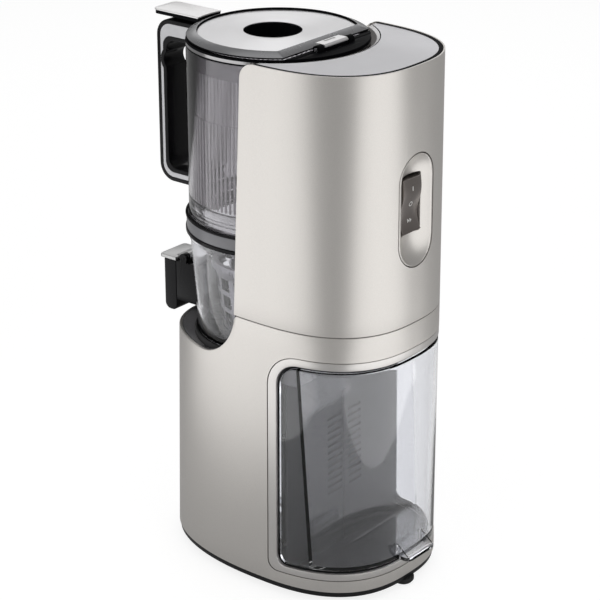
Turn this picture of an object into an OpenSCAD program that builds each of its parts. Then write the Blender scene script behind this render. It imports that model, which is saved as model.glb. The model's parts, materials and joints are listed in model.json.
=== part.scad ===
// Cold press juicer: tall column with a lift-out hopper and pressing chamber,
// a rear pulp bin and a vertical motor with a two-stage gear train below.
// Frame: millimetres, +Z up, floor at z = 0, origin under the middle of the body.
// -Y is the front (handle and juice spout), +Y the rear (bin and switch).

/* [Body plan] */
// Half the body's greatest width
half_w = 71.8; // [71:0.2:76]
// Where the body is widest, measured from its middle
wide_y = 16; // [12:1:20]
// Middle of the body to its rear
rear_reach = 101.9; // [100:0.5:108]
// Middle of the body to its front
front_reach = 101.9; // [100:0.5:108]
// Squareness of the rear of the plan
rear_power = 2.6; // [2.4:0.05:2.8]
// Squareness of the front of the plan
front_power = 2.25; // [2.15:0.05:2.5]
// Wall of the outer shells
wall = 2.5; // [2:0.1:2.8]
// How much wider the body is at its foot, as a share
flare = 0.02; // [0:0.005:0.03]

/* [Heights] */
// Rubber foot height
foot_h = 5; // [4:0.5:8]
// Base plate thickness
plate_t = 4; // [3:0.5:5]
// Seam between base and upper shell
seam_z = 212; // [208:1:218]
// Ledge that carries the pressing chamber
ledge_z = 174; // [172:1:178]
// Thickness of the ledge deck
deck_t = 6; // [5:0.5:8]
// Top of the upper shell
shell_top = 401; // [396:1:410]

/* [Front cut] */
// Where the side edge of the upper shell meets the seam
edge_y = -7; // [-12:0.5:-4]
// Backward lean of that edge, degrees
edge_lean = 2.7; // [0:0.1:4]
// Radius of the sweep from ledge to edge
sweep_r = 40; // [34:1:44]
// Radius of the upper corner of the edge
corner_r = 12; // [8:1:16]

/* [Feet and underside] */
// Radius of a rubber foot
foot_r = 8; // [6:0.5:9]
// Width of a vent slot under the motor
vent_w = 3; // [2:0.5:4]
// Length of a vent slot
vent_l = 48; // [30:1:60]
// Spacing of the vent slots
vent_pitch = 9; // [7:0.5:10]
// Radius of a base screw's head
screw_r = 3.2; // [2.5:0.1:4]
// Radius of the cord gland's barrel
gland_r = 7; // [5:0.5:9]
// Height of the cord gland
gland_z = 24; // [22:1:40]

/* [Hopper] */
// Hopper axis, from the middle of the body
hopper_y = -22.5; // [-24:0.5:-21]
// Outer radius of the hopper wall
hopper_r = 66; // [64:0.5:66.5]
// Hopper wall thickness
hopper_wall_t = 2.4; // [2:0.1:3]
// Outer radius of the collar rings
collar_r = 68.7; // [67.6:0.1:69]
// Bottom of the collar
collar_z = 255.6; // [252:0.2:258]
// Collar height
collar_h = 13.6; // [11:0.2:18]
// Height of the bright band under the lid
rim_h = 5; // [4:0.5:7]
// Height of the dark sleeve inside the hopper's rim
sleeve_h = 46; // [30:1:60]
// Sleeve thickness
sleeve_t = 1.4; // [1:0.1:1.8]
// Room round the collar inside the body
bay_clear = 1.3; // [1:0.1:1.6]
// Thickness of the liner behind the hopper
liner_t = 1.5; // [1.2:0.1:2]

/* [Lid] */
// Total height of the juicer
lid_top = 405; // [398:0.5:415]
// Thickness of the lid
lid_t = 4; // [3.6:0.1:5]
// Radius of the feed hole
feed_r = 21; // [18:0.5:24]
// Feed hole ahead of the hopper axis
feed_shift = 5; // [0:0.5:8]
// Depth of the funnel under the feed hole
funnel_h = 12; // [6:0.5:20]
// Radius of the bright disc
disc_r = 57.7; // [54:0.1:58]
// Lid chord behind the hopper axis
chord_y = 44; // [40:0.5:46]
// Width of the ring along the chord
chord_w = 7; // [5:0.5:9]
// Half width of the lid tongue
tongue_hw = 13; // [10:0.5:16]
// Tongue tip ahead of the hopper axis
tongue_reach = 109; // [106:0.5:114]
// Radius of the tongue's front corners
tongue_r = 5; // [3:0.5:8]
// Half width of the lid's hinge bracket
bracket_hw = 13; // [10:0.5:13]
// Radius of the lid's hinge pin
hinge_pin_r = 1.6; // [1.2:0.1:1.8]

/* [Handle] */
// Outer face of the handle ahead of the hopper axis
handle_reach = 107; // [104:0.5:112]
// Thickness of the handle's grip
grip_t = 9.3; // [7:0.1:11]
// Half width of the handle
handle_hw = 11; // [9:0.5:14]
// Underside of the handle
handle_z = 273; // [271:1:280]
// Radius of the handle's outer corners
handle_r = 13; // [10:0.5:16]
// Thickness of the handle's lower arm
lower_arm = 10.5; // [8:0.5:13]
// Thickness of the handle's upper arm
upper_arm = 16; // [12:0.5:18]
// Radius of the finger opening's corners
finger_r = 8; // [6:0.5:10]

/* [Chamber] */
// Outer radius of the bowl at its foot
bowl_foot_r = 61; // [59:0.5:62]
// Bowl wall thickness
bowl_wall = 2.6; // [2:0.1:3.2]
// Bowl floor thickness
bowl_floor = 3; // [2.5:0.1:3.2]
// Outer radius of the strainer at its rim
strainer_r = 47; // [42:0.5:50]
// Strainer height
strainer_h = 54; // [46:1:56]
// Strainer wall thickness
strainer_t = 1.6; // [1.2:0.1:2]
// Strainer windows round the strainer
windows = 18; // [12:1:18]
// Radius of the auger's flights at the foot
auger_r = 40; // [34:0.5:41]
// Auger height
auger_h = 86; // [76:1:90]
// Number of auger flights
flights = 2; // [1:1:3]
// Turn of each flight from foot to tip, degrees
flight_turn = 430; // [300:10:540]

/* [Spout] */
// Half width of the juice spout
spout_hw = 14.5; // [12:0.5:17]
// Front face of the spout body ahead of the hopper axis
spout_reach = 90; // [86:0.5:94]
// Height of the spout body above the ledge
spout_h = 37; // [33:0.5:40]
// Radius of the juice way
juice_r = 9; // [7:0.5:9.5]
// Thickness of the juice cap
cap_t = 11.5; // [9:0.5:13]
// Underside of the juice cap
cap_z = 170; // [168:1:176]
// Radius of the cap's hinge pin
cap_pin_r = 1.6; // [1.2:0.1:1.8]

/* [Pulp bin bay] */
// Front edge of the bin opening, from the middle of the body
bay_y = 32; // [28:0.5:36]
// Bottom of the bin opening
bay_z = 24; // [22:0.5:28]
// Top of the bin opening
bay_top = 186; // [180:0.5:188]
// Width of the frame round the opening
frame_w = 7.5; // [6:0.5:9]
// Radius of the opening's upper corner
bay_r = 18; // [12:1:22]
// Radius of the opening's lower corner
bay_foot_r = 8; // [5:0.5:12]
// Thickness of the bay's walls
bay_t = 2; // [1.6:0.1:2.4]
// Thickness of the black trim
trim_t = 2.4; // [2:0.1:3]
// How far the trim shows inside the frame
trim_show = 2.4; // [1.5:0.1:3]
// Number of louvres in each column
louvres = 12; // [6:1:13]
// Spacing of the louvres
louvre_pitch = 5.5; // [4.5:0.1:6]
// Length of a louvre
louvre_l = 17; // [12:0.5:18]
// Height of a louvre's slot
louvre_h = 2.6; // [1.6:0.1:3]
// Width of the rib between the louvre columns
louvre_rib = 6.5; // [5:0.5:8]
// Pulp chute, from the middle of the body
chute_x = 12; // [8:0.5:14]
// Radius of the chute's octagon
chute_r = 24; // [20:0.5:26]
// Chute wall thickness
chute_t = 2.5; // [2:0.1:3]
// Depth of the chute's hood
hood_l = 12; // [10:0.5:13]

/* [Pulp bin] */
// Bin wall thickness
bin_wall = 2.6; // [2:0.1:3.2]
// How far the bin's front wall leans over its height
bin_draft = 10; // [6:0.5:12]
// Half width of the bin's pull lip
lip_hw = 15.5; // [12:0.5:20]
// How far the lip stands out
lip_reach = 12; // [9:0.5:14]
// Thickness of the lip
lip_t = 2.4; // [2:0.1:3]
// Height of the fins at the lip's ends
fin_h = 11; // [8:0.5:14]

/* [Switch] */
// Middle height of the rocker
rocker_z = 299; // [290:1:310]
// Half width of the rocker
rocker_hw = 10.3; // [8:0.1:11]
// Half height of the rocker
rocker_hh = 20; // [16:0.5:21]
// Half width of the recess round the rocker
dish_hw = 19.5; // [17:0.5:21]
// Half height of the recess
dish_hh = 41.5; // [38:0.5:45]
// Depth of the recess
dish_depth = 8; // [5:0.5:9]
// Radius of the rocker's pin
rocker_pin_r = 1.5; // [1:0.1:2]

/* [Motor] */
// Motor can radius
motor_r = 37; // [32:0.5:38]
// Motor can height
motor_h = 80; // [70:1:82]
// Wall of the motor can
can_t = 3; // [2:0.5:4]
// Height of the motor above the base plate
cradle_h = 12; // [10:0.5:14]
// Rotor radius
rotor_r = 24; // [20:0.5:28]
// Rotor height
rotor_h = 34; // [26:1:38]
// Radius of the motor's shaft
rotor_shaft_r = 4; // [3:0.5:4]
// Outer radius of a motor bearing
bearing_r = 9.5; // [8:0.5:11]
// Height of a motor bearing
bearing_h = 7; // [5:0.5:8]
// Fan radius
fan_r = 28; // [24:0.5:30]
// Fan height
fan_h = 9; // [6:0.5:11]
// Number of fan blades
fan_blades = 11; // [7:1:13]

/* [Gears] */
// Drive shaft radius
shaft_r = 6; // [5:0.5:7]
// Lay shaft radius
lay_shaft_r = 3; // [2.5:0.5:3.5]
// Radial play of a shaft in its bore
play = 0.05; // [0.02:0.01:0.1]
// Gear module
gear_m = 1; // [1:1:1]
// Face width of a gear
gear_w = 9; // [6:0.5:10]
// Teeth on the motor pinion
motor_teeth = 10; // [10:1:10]
// Teeth on the wheel that the motor pinion turns
lay_teeth = 50; // [50:1:50]
// Teeth on the lay shaft's own pinion
pinion_teeth = 12; // [12:1:12]
// Teeth on the output wheel
output_teeth = 48; // [48:1:48]
// Wall of the gearbox case
case_t = 2.5; // [2:0.5:3]

/* [Hidden] */

$fn = 96;
small_fn = 48;
outline_steps = 120;
// Clearance between neighbouring pieces
gap = 0.3;
// Clearance of a piece that slips into another, and of a pressed one
fit = 0.2;
press = 0.02;
// Depth of a shade-thin step between neighbouring faces
skin = 0.1;
// How far a cutting shape runs past what it cuts, and a length past the whole object
over = 1;
far = 200;

// Body
plate_top = foot_h + plate_t;
flare_y = 163;
bay_cyl_r = collar_r + bay_clear;
pocket_r = bowl_foot_r + 4.5;
deck_under = ledge_z - deck_t;
soffit_y = hopper_y + pocket_r + wall;
cover_t = 2;
cover_drop = 0.5;
cover_under = shell_top - cover_drop - cover_t;
cover_skirt_h = 5.5;
cover_skirt_t = 4.2;
front_step = 1;

// Feet, screws and gland
foot_places = [[56, -4], [46, 66], [0, 95], [24, -84]];
foot_peg_r = 2;
screw_places = [[58, 24], [40, -66]];
screw_h = 1.6;
screw_slot = 1;
gland_y = 0;
gland_flange_t = 1.4;
gland_nut_t = 3;
gland_bore_r = 3.6;
gland_bow = 1.2;
gland_x = half_w * flare_at(gland_z - gland_r - 2) + gland_flange_t + skin / 2;

// Seat of the pressing chamber
seat_t = 1.2;
seat_lip_h = 3.8;
seat_lip_t = 1.7;
seat_clear = 0.8;
seat_r = bowl_foot_r + seat_clear + seat_lip_t;
seal_t = 6;
bowl_z = ledge_z + 4.5;
bowl_band_h = 6;
base_lift = 1.5;
hex_r = shaft_r + 1;
hub_clear = 5;
hub_r = hex_r + hub_clear;
hub_top = ledge_z + 18;
strainer_z = bowl_z + bowl_floor + gap;
strainer_rim_h = 6;
strainer_taper = 5;
window_rows = 3;
window_w = 10.4;
window_h = 10;
window_pitch = 14;
mesh_rib_w = 1.2;
auger_z = strainer_z + 0.6;
flight_from = 2;
tip_r = 13;
tip_h = 14;

// Juice spout and cap
spout_top = ledge_z + spout_h;
juice_z = bowl_z + 14;
ear_r = 3.5;
ear_t = 5;
cap_pivot_y = hopper_y - spout_reach + 7;
cap_pivot_z = spout_top + ear_r + 0.1;
cap_y = hopper_y - spout_reach - 2 * gap;
cap_r = 5;
cap_seal_r = juice_r + 1.9;
cap_seal_t = 2.2;
lever_t = 3;
lever_over = 5;
lever_r = 8;
lever_arm_t = 2.4;

// Hopper and handle
hopper_z = collar_z + collar_h;
lid_z = lid_top - lid_t;
lid_seat = 1;
rim_z = lid_z - lid_seat - rim_h;
rim_t = 3;
seat_step = 14;
neck_h = 6;
ring_t = 4;
lower_ring_h = 3;
upper_ring_h = 1.6;
collar_t = 3.2;
handle_top = rim_z + 3;
bulge_r = 7.5;
bulge_drop = 31;
inlay_t = 0.4;
inlay_depth = 0.8;
inlay_edge = 1.6;

// Lid and its hinge
disc_t = 1.2;
disc_drop = 0.3;
disc_seat = 1.8;
ring_edge_h = 1.2;
hinge_y = hopper_y + chord_y + 6;
hinge_z = lid_z + 1.2;
knuckle_r = 3;
block_r = 3.2;
ear_x = 17;
ear_w = 6;
tongue_t = lid_t - 1.1;
tongue_z = lid_z + 0.9;
bracket_t = 2.2;

// Pulp bin and its bay
bay_wall_y = bay_y + 6;
bay_roof_z = seam_z - 6;
bay_floor_z = bay_z - frame_w + 2;
frame_foot = 0.7;
frame_head = 0.8;
trim_lap = 4;
louvre_top = deck_under - 45;
louvre_x = (louvre_l + louvre_rib) / 2;
rib_w = 5;
rib_t = 1.6;
chute_z = bay_roof_z - chute_r * cos(22.5) - 0.5;
chute_sill_z = bay_top + 2;
chute_y = soffit_y + gap;
chute_plate_t = 1.2;
pulp_gate_w = 24;
pulp_gate_h = 12;
bin_skin = 0.4;
bin_z = bay_z + 2.4;
bin_top = bay_top - 2.8;
bin_front_top = soffit_y + 1.8;
lip_root = 2.6;
fin_t = 1.2;
fin_lean = 2;

// Switch
dish_z = rocker_z - 3;
dish_floor_y = rear_reach - dish_depth;
dish_back = 3;
rocker_pivot_y = dish_floor_y - 5;
rocker_side = 0.7;
rocker_room = 1.5;
rocker_face_y = dish_floor_y + 2.5;
rocker_wave = 1.6;
rocker_horn = 1.2;
rocker_core = 4;
switch_wall = 2.3;
switch_l = 26;
board_size = [60, 1.6, 80];
board_drop = 45;
filter_size = [18, 12, 22];
filter_x = -22;
relay_size = [14, 12, 14];
relay_x = 8;

// Motor and gears
motor_z = plate_top + cradle_h;
motor_top = motor_z + motor_h;
cradle_t = 3;
leg_r = 3.6;
can_vents = 8;
can_vent_w = 6;
can_vent_l = 8;
rotor_z = motor_z + 24;
rotor_tail = 8;
fan_z = motor_z + 11;
fan_hub_r = 9;
fan_t = 1.5;
blade_t = 1.6;
gear_z = motor_top + 6;
case_top = deck_under - 4;
case_clear = 3;
lay_y = hopper_y - gear_m * (motor_teeth + lay_teeth) / 2;
lay_r = gear_m * lay_teeth / 2;
output_r = gear_m * output_teeth / 2;
lay_collar_r = 4.6;
gear_step = 3;
first_gear_z = gear_z + case_t + 1;
second_gear_z = first_gear_z + gear_w + gear_step;
output_hub_t = 5;
lug_r = 5;

// ---- shared forms ------------------------------------------------------

function signed_pow(v, p) = sign(v) * pow(abs(v), p);
function outline_point(a, inset) =
    let (power = sin(a) >= 0 ? rear_power : front_power,
         reach = sin(a) >= 0 ? rear_reach - wide_y : front_reach + wide_y)
    [(half_w - inset) * signed_pow(cos(a), 2 / power),
     wide_y + (reach - inset) * signed_pow(sin(a), 2 / power)];
function outline_points(inset) =
    [for (i = [0 : outline_steps - 1]) outline_point(360 * i / outline_steps, inset)];
function arc(cx, cy, r, from, to, n = 12) =
    [for (i = [0 : n]) let (a = from + (to - from) * i / n) [cx + r * cos(a), cy + r * sin(a)]];
function flare_at(z) = 1 + flare * (seam_z - z) / (seam_z - foot_h);
function edge_at(z) = edge_y + (z - seam_z) * tan(edge_lean);
function mirrored(p) = p[0] == 0 ? [p] : [p, [-p[0], p[1]]];

// Straight prism of the body plan, its sides moved in by inset
module prism(inset, z0, z1) {
    translate([0, 0, z0]) linear_extrude(z1 - z0) polygon(outline_points(inset));
}

// The same prism, flared towards the foot
module flared(inset, z0, z1) {
    s0 = flare_at(z0);
    translate([0, flare_y, z0])
        linear_extrude(z1 - z0, scale = flare_at(z1) / s0)
            scale(s0) translate([0, -flare_y]) polygon(outline_points(inset));
}

// A shape drawn in (y, z), extruded along X from -hx to hx
module side_extrude(hx) {
    translate([-hx, 0, 0]) rotate([90, 0, 90]) linear_extrude(2 * hx) children();
}

// A shape drawn in (x, z), extruded along Y from y0 to y1
module rear_extrude(y0, y1) {
    translate([0, y1, 0]) rotate([90, 0, 0]) linear_extrude(y1 - y0) children();
}

// A rod along X, centred on x = 0
module cross_rod(r, hx, y, z) {
    translate([-hx, y, z]) rotate([0, 90, 0]) cylinder(r = r, h = 2 * hx, $fn = small_fn);
}

module at_hopper(z = 0) {
    translate([0, hopper_y, z]) children();
}

module tube(r, t, h) {
    difference() {
        cylinder(r = r, h = h);
        translate([0, 0, -over]) cylinder(r = r - t, h = h + 2 * over);
    }
}

// All that lies behind y
module behind(y) {
    translate([-far, y, -far]) cube([2 * far, 2 * far, 4 * far]);
}

// All that lies before y
module before(y) {
    translate([-far, y - 2 * far, -far]) cube([2 * far, 2 * far, 4 * far]);
}

// Rectangle with round corners, from exact circles and squares
module round_rect(x0, y0, x1, y1, r) {
    translate([x0 + r, y0]) square([x1 - x0 - 2 * r, y1 - y0]);
    translate([x0, y0 + r]) square([x1 - x0, y1 - y0 - 2 * r]);
    for (x = [x0 + r, x1 - r], y = [y0 + r, y1 - r]) translate([x, y]) circle(r = r, $fn = small_fn);
}

// Side view of what is open at the front: ledge, sweep, leaning edge, corner
module front_open(step = 0) {
    sweep_z = ledge_z + sweep_r;
    sweep_y = edge_at(sweep_z) - sweep_r / cos(edge_lean);
    top_z = shell_top - corner_r;
    top_y = edge_at(top_z) + corner_r / cos(edge_lean);
    translate([step, 0]) polygon(concat(
        [[-far, ledge_z]],
        arc(sweep_y, sweep_z, sweep_r, -90, -edge_lean),
        arc(top_y, top_z, corner_r, 180 - edge_lean, 90, 6),
        [[top_y, shell_top + far], [-far, shell_top + far]]));
}

// Side view of the bin opening, its edges moved out by grow
module bay_open(grow) {
    y0 = bay_y - grow;
    z0 = bay_z - grow * frame_foot;
    z1 = bay_top + grow * frame_head;
    r = bay_r + grow;
    polygon(concat(
        [[far, z0]], arc(y0 + bay_foot_r, z0 + bay_foot_r, bay_foot_r, 270, 180, 6),
        arc(y0 + r, z1 - r, r, 180, 90), [[far, z1]]));
}

// Side view of all that is not in the bin opening
module bay_shut(grow) {
    difference() {
        translate([-far, -far]) square([2 * far, 4 * far]);
        bay_open(grow);
    }
}

// Straight-sided gear with a slim tooth, for quiet running with backlash
module gear_2d(teeth, phase = 0) {
    pitch_r = gear_m * teeth / 2;
    root_r = pitch_r - 1.15 * gear_m;
    tooth_r = pitch_r + 0.75 * gear_m;
    sunk = root_r - 0.6 * gear_m;
    root_hw = 0.85 * gear_m;
    pitch_hw = 0.58 * gear_m;
    tooth_hw = 0.26 * gear_m;
    rotate(phase) {
        circle(r = root_r);
        for (i = [0 : teeth - 1]) rotate(i * 360 / teeth)
            polygon([[sunk, -root_hw], [pitch_r, -pitch_hw], [tooth_r, -tooth_hw],
                     [tooth_r, tooth_hw], [pitch_r, pitch_hw], [sunk, root_hw]]);
    }
}

// ---- housing -----------------------------------------------------------

module base_shell() {
    color("silver") difference() {
        flared(0, plate_top, seam_z - gap);
        flared(wall, plate_top - over, seam_z + over);
        side_extrude(far) front_open();
        side_extrude(far) bay_open(frame_w + gap);
        translate([-far, gland_y, gland_z]) rotate([0, 90, 0]) cylinder(r = gland_r + gap, h = far);
    }
}

module upper_shell() {
    color("silver") difference() {
        prism(0, seam_z, shell_top);
        prism(wall, seam_z - over, shell_top + over);
        side_extrude(far) front_open();
        rear_extrude(0, far) dish_outline(gap);
        at_hopper() cylinder(r = bay_cyl_r, h = far * 3);
    }
}

module top_cover() {
    color("gainsboro") difference() {
        prism(wall + fit, cover_under, shell_top - cover_drop);
        at_hopper() cylinder(r = bay_cyl_r, h = far * 3);
        side_extrude(far) front_open(front_step);
    }
    color("gainsboro") difference() {
        intersection() {
            prism(wall + fit, cover_under - cover_skirt_h, cover_under);
            at_hopper() cylinder(r = bay_cyl_r + liner_t + gap + cover_skirt_t, h = far * 3);
        }
        at_hopper() cylinder(r = bay_cyl_r + liner_t + gap, h = far * 3);
        side_extrude(far) front_open(front_step + liner_t + gap);
    }
}

// Narrow returns that close the space between the shell's edge and the liner
module hopper_cheeks() {
    difference() {
        prism(wall + fit, seam_z, cover_under);
        side_extrude(far) front_open(front_step);
        side_extrude(far) difference() {
            translate([-far, -far]) square([2 * far, 4 * far]);
            front_open(front_step + liner_t);
        }
    }
}

module hopper_liner() {
    color("dimgray") difference() {
        union() {
            intersection() {
                prism(wall + fit, seam_z, cover_under);
                at_hopper() cylinder(r = bay_cyl_r + liner_t, h = far * 3);
            }
            hopper_cheeks();
        }
        at_hopper() cylinder(r = bay_cyl_r, h = far * 3);
        side_extrude(far) front_open(front_step);
    }
}

module deck() {
    color("dimgray") difference() {
        union() {
            intersection() {
                flared(wall + fit, deck_under, seam_z - gap);
                before(soffit_y);
            }
            intersection() {
                flared(wall + fit, bay_roof_z, bay_roof_z + bay_t);
                behind(soffit_y - over);
            }
        }
        side_extrude(far) front_open();
        at_hopper(ledge_z) cylinder(r = pocket_r, h = far);
        at_hopper() cylinder(r = shaft_r + seal_t, h = far);
        chute_cut();
        trim_room();
    }
}

module seat_ring() {
    color("black") at_hopper(ledge_z) difference() {
        cylinder(r = seat_r, h = seat_t);
        translate([0, 0, -over]) cylinder(r = shaft_r + seal_t + 2, h = seat_t + 2 * over);
    }
    color("black") at_hopper(ledge_z + seat_t) tube(seat_r, seat_lip_t, seat_lip_h);
}

module shaft_seal() {
    color("black") at_hopper(deck_under) tube(shaft_r + seal_t - play, seal_t - 2 * play, deck_t);
}

module base_plate() {
    color("black") difference() {
        flared(over, foot_h, plate_top);
        for (place = foot_places, p = mirrored(place))
            translate([p[0], p[1], foot_h + plate_t / 2 - gap]) cylinder(r = foot_peg_r, h = plate_t);
        for (i = [-3 : 3]) translate([i * vent_pitch - vent_w / 2, hopper_y - vent_l / 2, 0])
            cube([vent_w, vent_l, far]);
    }
}

module rubber_feet() {
    color("black") for (place = foot_places, p = mirrored(place)) translate([p[0], p[1], 0]) {
        cylinder(r1 = foot_r - 1.5, r2 = foot_r, h = 2);
        translate([0, 0, 2]) cylinder(r = foot_r, h = foot_h - 2);
    }
}

module base_screws() {
    color("silver") for (place = screw_places, p = mirrored(place))
        translate([p[0], p[1], foot_h - screw_h]) difference() {
            cylinder(r = screw_r, h = screw_h);
            for (turn = [0, 90]) rotate(turn)
                translate([-screw_slot / 2, -screw_r * 0.65, -over])
                    cube([screw_slot, screw_r * 1.3, screw_h]);
        }
}

module cord_gland() {
    nut_at = gland_flange_t + wall + gland_bow;
    color("black") translate([-gland_x, gland_y, gland_z]) rotate([0, 90, 0]) difference() {
        union() {
            cylinder(r = gland_r + 2, h = gland_flange_t);
            cylinder(r = gland_r, h = nut_at + gland_nut_t - over);
            translate([0, 0, nut_at]) cylinder(r = gland_r + 1.5, h = gland_nut_t);
        }
        translate([0, 0, -over]) cylinder(r = gland_bore_r, h = far);
    }
}

// ---- pulp bin bay ------------------------------------------------------

module louvre_slots() {
    for (s = [-1, 1], i = [0 : louvres - 1])
        translate([s * louvre_x - louvre_l / 2, bay_wall_y - 4 * bay_t, louvre_top - i * louvre_pitch])
            cube([louvre_l, 8 * bay_t, louvre_h]);
}

// Room for the trim and the frame inside the body's wall
module trim_room() {
    difference() {
        side_extrude(far) bay_open(trim_lap + gap);
        flared(wall + trim_t + 2 * gap, 0, seam_z + over);
    }
}

module bin_bay() {
    color("dimgray") difference() {
        union() {
            intersection() {
                flared(bin_skin + bin_wall + gap, bay_floor_z, deck_under - gap);
                translate([-far, bay_wall_y - bay_t, 0]) cube([2 * far, bay_t, far]);
            }
            translate([-rib_w / 2, bay_wall_y - over, bay_floor_z - over])
                cube([rib_w, rib_t + over, louvre_top - bay_floor_z + 20]);
            intersection() {
                flared(wall + fit, bay_floor_z - bay_t, bay_floor_z);
                behind(bay_wall_y - bay_t);
            }
        }
        louvre_slots();
        trim_room();
    }
}

module bin_frame() {
    color("gainsboro") difference() {
        flared(skin, bay_floor_z - bay_t, bay_top + frame_w + bay_t);
        flared(wall - skin, 0, seam_z);
        side_extrude(far) bay_open(0);
        side_extrude(far) bay_shut(frame_w);
    }
}

module bin_trim() {
    color("black") difference() {
        flared(wall + skin, bay_floor_z + fit, bay_roof_z - fit);
        flared(wall + trim_t, 0, seam_z);
        side_extrude(far) bay_open(-trim_show);
        side_extrude(far) bay_shut(trim_lap);
    }
}

module chute_octagon(r) {
    translate([chute_x, chute_z]) rotate(22.5) circle(r = r, $fn = 8);
}

// The way of the pulp: only the part of the octagon above the bin's rim
module chute_way(r) {
    intersection() {
        chute_octagon(r);
        translate([-far, chute_sill_z]) square([2 * far, far]);
    }
}

module chute_cut() {
    rear_extrude(soffit_y - 12, soffit_y + 2) chute_way(chute_r - chute_t);
}

module pulp_chute() {
    hood_room = hood_l - chute_t;
    color("darkslategray") difference() {
        union() {
            rear_extrude(bay_wall_y + gap, chute_y + chute_plate_t) intersection() {
                chute_octagon(chute_r);
                translate([-far, 0]) square([2 * far, deck_under - gap]);
            }
            rear_extrude(chute_y, chute_y + chute_plate_t) chute_octagon(chute_r);
            rear_extrude(chute_y, chute_y + hood_l) chute_way(chute_r);
        }
        chute_cut();
        rear_extrude(chute_y, chute_y + hood_room) chute_way(chute_r - chute_t);
        translate([chute_x - chute_r * 0.8, chute_y + chute_plate_t, chute_sill_z - 4 * over])
            cube([chute_r * 1.6, hood_room - chute_plate_t, 5 * over]);
    }
}

// ---- switch ------------------------------------------------------------

module dish_outline(grow = 0) {
    hw = dish_hw + grow;
    straight = dish_hh - dish_hw;
    for (s = [-1, 1]) translate([0, dish_z + s * straight]) circle(r = hw, $fn = 64);
    translate([-hw, dish_z - straight]) square([2 * hw, 2 * straight]);
}

module rocker_hole() {
    round_rect(-rocker_hw - rocker_side, rocker_z - rocker_hh - rocker_room,
        rocker_hw + rocker_side, rocker_z + rocker_hh + rocker_room, 2);
}

module switch_dish() {
    scoop_r = (dish_hw * dish_hw + dish_depth * dish_depth) / (2 * dish_depth) - 1;
    straight = dish_hh - dish_hw;
    color("silver") difference() {
        intersection() {
            prism(skin, seam_z, shell_top);
            rear_extrude(dish_floor_y - dish_back, far) dish_outline();
        }
        translate([0, dish_floor_y + scoop_r, dish_z - straight]) {
            cylinder(r = scoop_r, h = 2 * straight);
            sphere(r = scoop_r);
            translate([0, 0, 2 * straight]) sphere(r = scoop_r);
        }
        rear_extrude(0, far) rocker_hole();
    }
}

module switch_body() {
    front_y = dish_floor_y - dish_back - gap;
    hw = rocker_hw + rocker_side + switch_wall;
    hh = rocker_hh + rocker_room + switch_wall;
    pocket_l = 16;
    color("black") difference() {
        translate([-hw, front_y - switch_l, rocker_z - hh]) cube([2 * hw, switch_l, 2 * hh]);
        translate([-rocker_hw - rocker_side, front_y - pocket_l, rocker_z - rocker_hh - rocker_room])
            cube([2 * (rocker_hw + rocker_side), pocket_l + over, 2 * (rocker_hh + rocker_room)]);
    }
}

module rocker_pin() {
    color("silver") cross_rod(rocker_pin_r, rocker_hw + rocker_side, rocker_pivot_y, rocker_z);
}

// Height of the rocker's face at share u of its half height: raised above, hollowed below
function rocker_rise(u) = rocker_wave * sin(u * 180) + rocker_horn * u * u - 0.4;

module rocker() {
    back_y = rocker_pivot_y - rocker_core;
    face_steps = 16;
    color("dimgray") difference() {
        side_extrude(rocker_hw) polygon(concat(
            [[back_y, rocker_z - 7], [back_y + rocker_core, rocker_z - rocker_hh],
             [rocker_face_y + rocker_wave, rocker_z - rocker_hh]],
            [for (i = [0 : face_steps]) let (u = 2 * i / face_steps - 1)
                [rocker_face_y + rocker_rise(u), rocker_z + u * (rocker_hh - 2 * gap)]],
            [[rocker_face_y + rocker_horn, rocker_z + rocker_hh],
             [back_y + rocker_core, rocker_z + rocker_hh], [back_y, rocker_z + 7]]));
        cross_rod(rocker_pin_r + play, far, rocker_pivot_y, rocker_z);
    }
}

module control_board() {
    back_y = dish_floor_y - dish_back - switch_l - 2 * gap;
    board_z = rocker_z - board_drop;
    color("green") translate([-board_size[0] / 2, back_y - board_size[1], board_z]) cube(board_size);
    color("darkgreen") {
        translate([filter_x, back_y - board_size[1] - filter_size[1], board_z + 9]) cube(filter_size);
        translate([relay_x, back_y - board_size[1] - relay_size[1], board_z + 49]) cube(relay_size);
    }
}

// ---- motor and gears ---------------------------------------------------

module motor_can() {
    color("silver") at_hopper(motor_z) difference() {
        cylinder(r = motor_r, h = motor_h);
        translate([0, 0, can_t]) cylinder(r = motor_r - can_t, h = motor_h - 2 * can_t);
        translate([0, 0, -over]) cylinder(r = bearing_r, h = motor_h + 2 * over);
        for (i = [0 : can_vents - 1]) rotate(i * 360 / can_vents)
            translate([motor_r - can_vent_l - 2 * can_t, -can_vent_w / 2, -over])
                cube([can_vent_l, can_vent_w, motor_h + 2 * over]);
    }
}

module motor_cradle() {
    color("gray") at_hopper(plate_top) {
        tube(motor_r + cradle_t, 11, cradle_t);
        for (i = [0 : 3]) rotate(45 + i * 90) translate([motor_r - cradle_t - 1, 0, 1])
            cylinder(r = leg_r, h = cradle_h - 1);
    }
}

module motor_bearings() {
    color("silver") for (z = [motor_z, motor_top - bearing_h])
        at_hopper(z) tube(bearing_r, bearing_r - rotor_shaft_r - play, bearing_h);
}

module motor_rotor() {
    shaft_z = motor_z - rotor_tail;
    color("gray") at_hopper() {
        translate([0, 0, shaft_z]) cylinder(r = rotor_shaft_r, h = first_gear_z - shaft_z);
        translate([0, 0, rotor_z]) cylinder(r = rotor_r, h = rotor_h);
        translate([0, 0, first_gear_z]) linear_extrude(gear_w) gear_2d(motor_teeth);
    }
}

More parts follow.
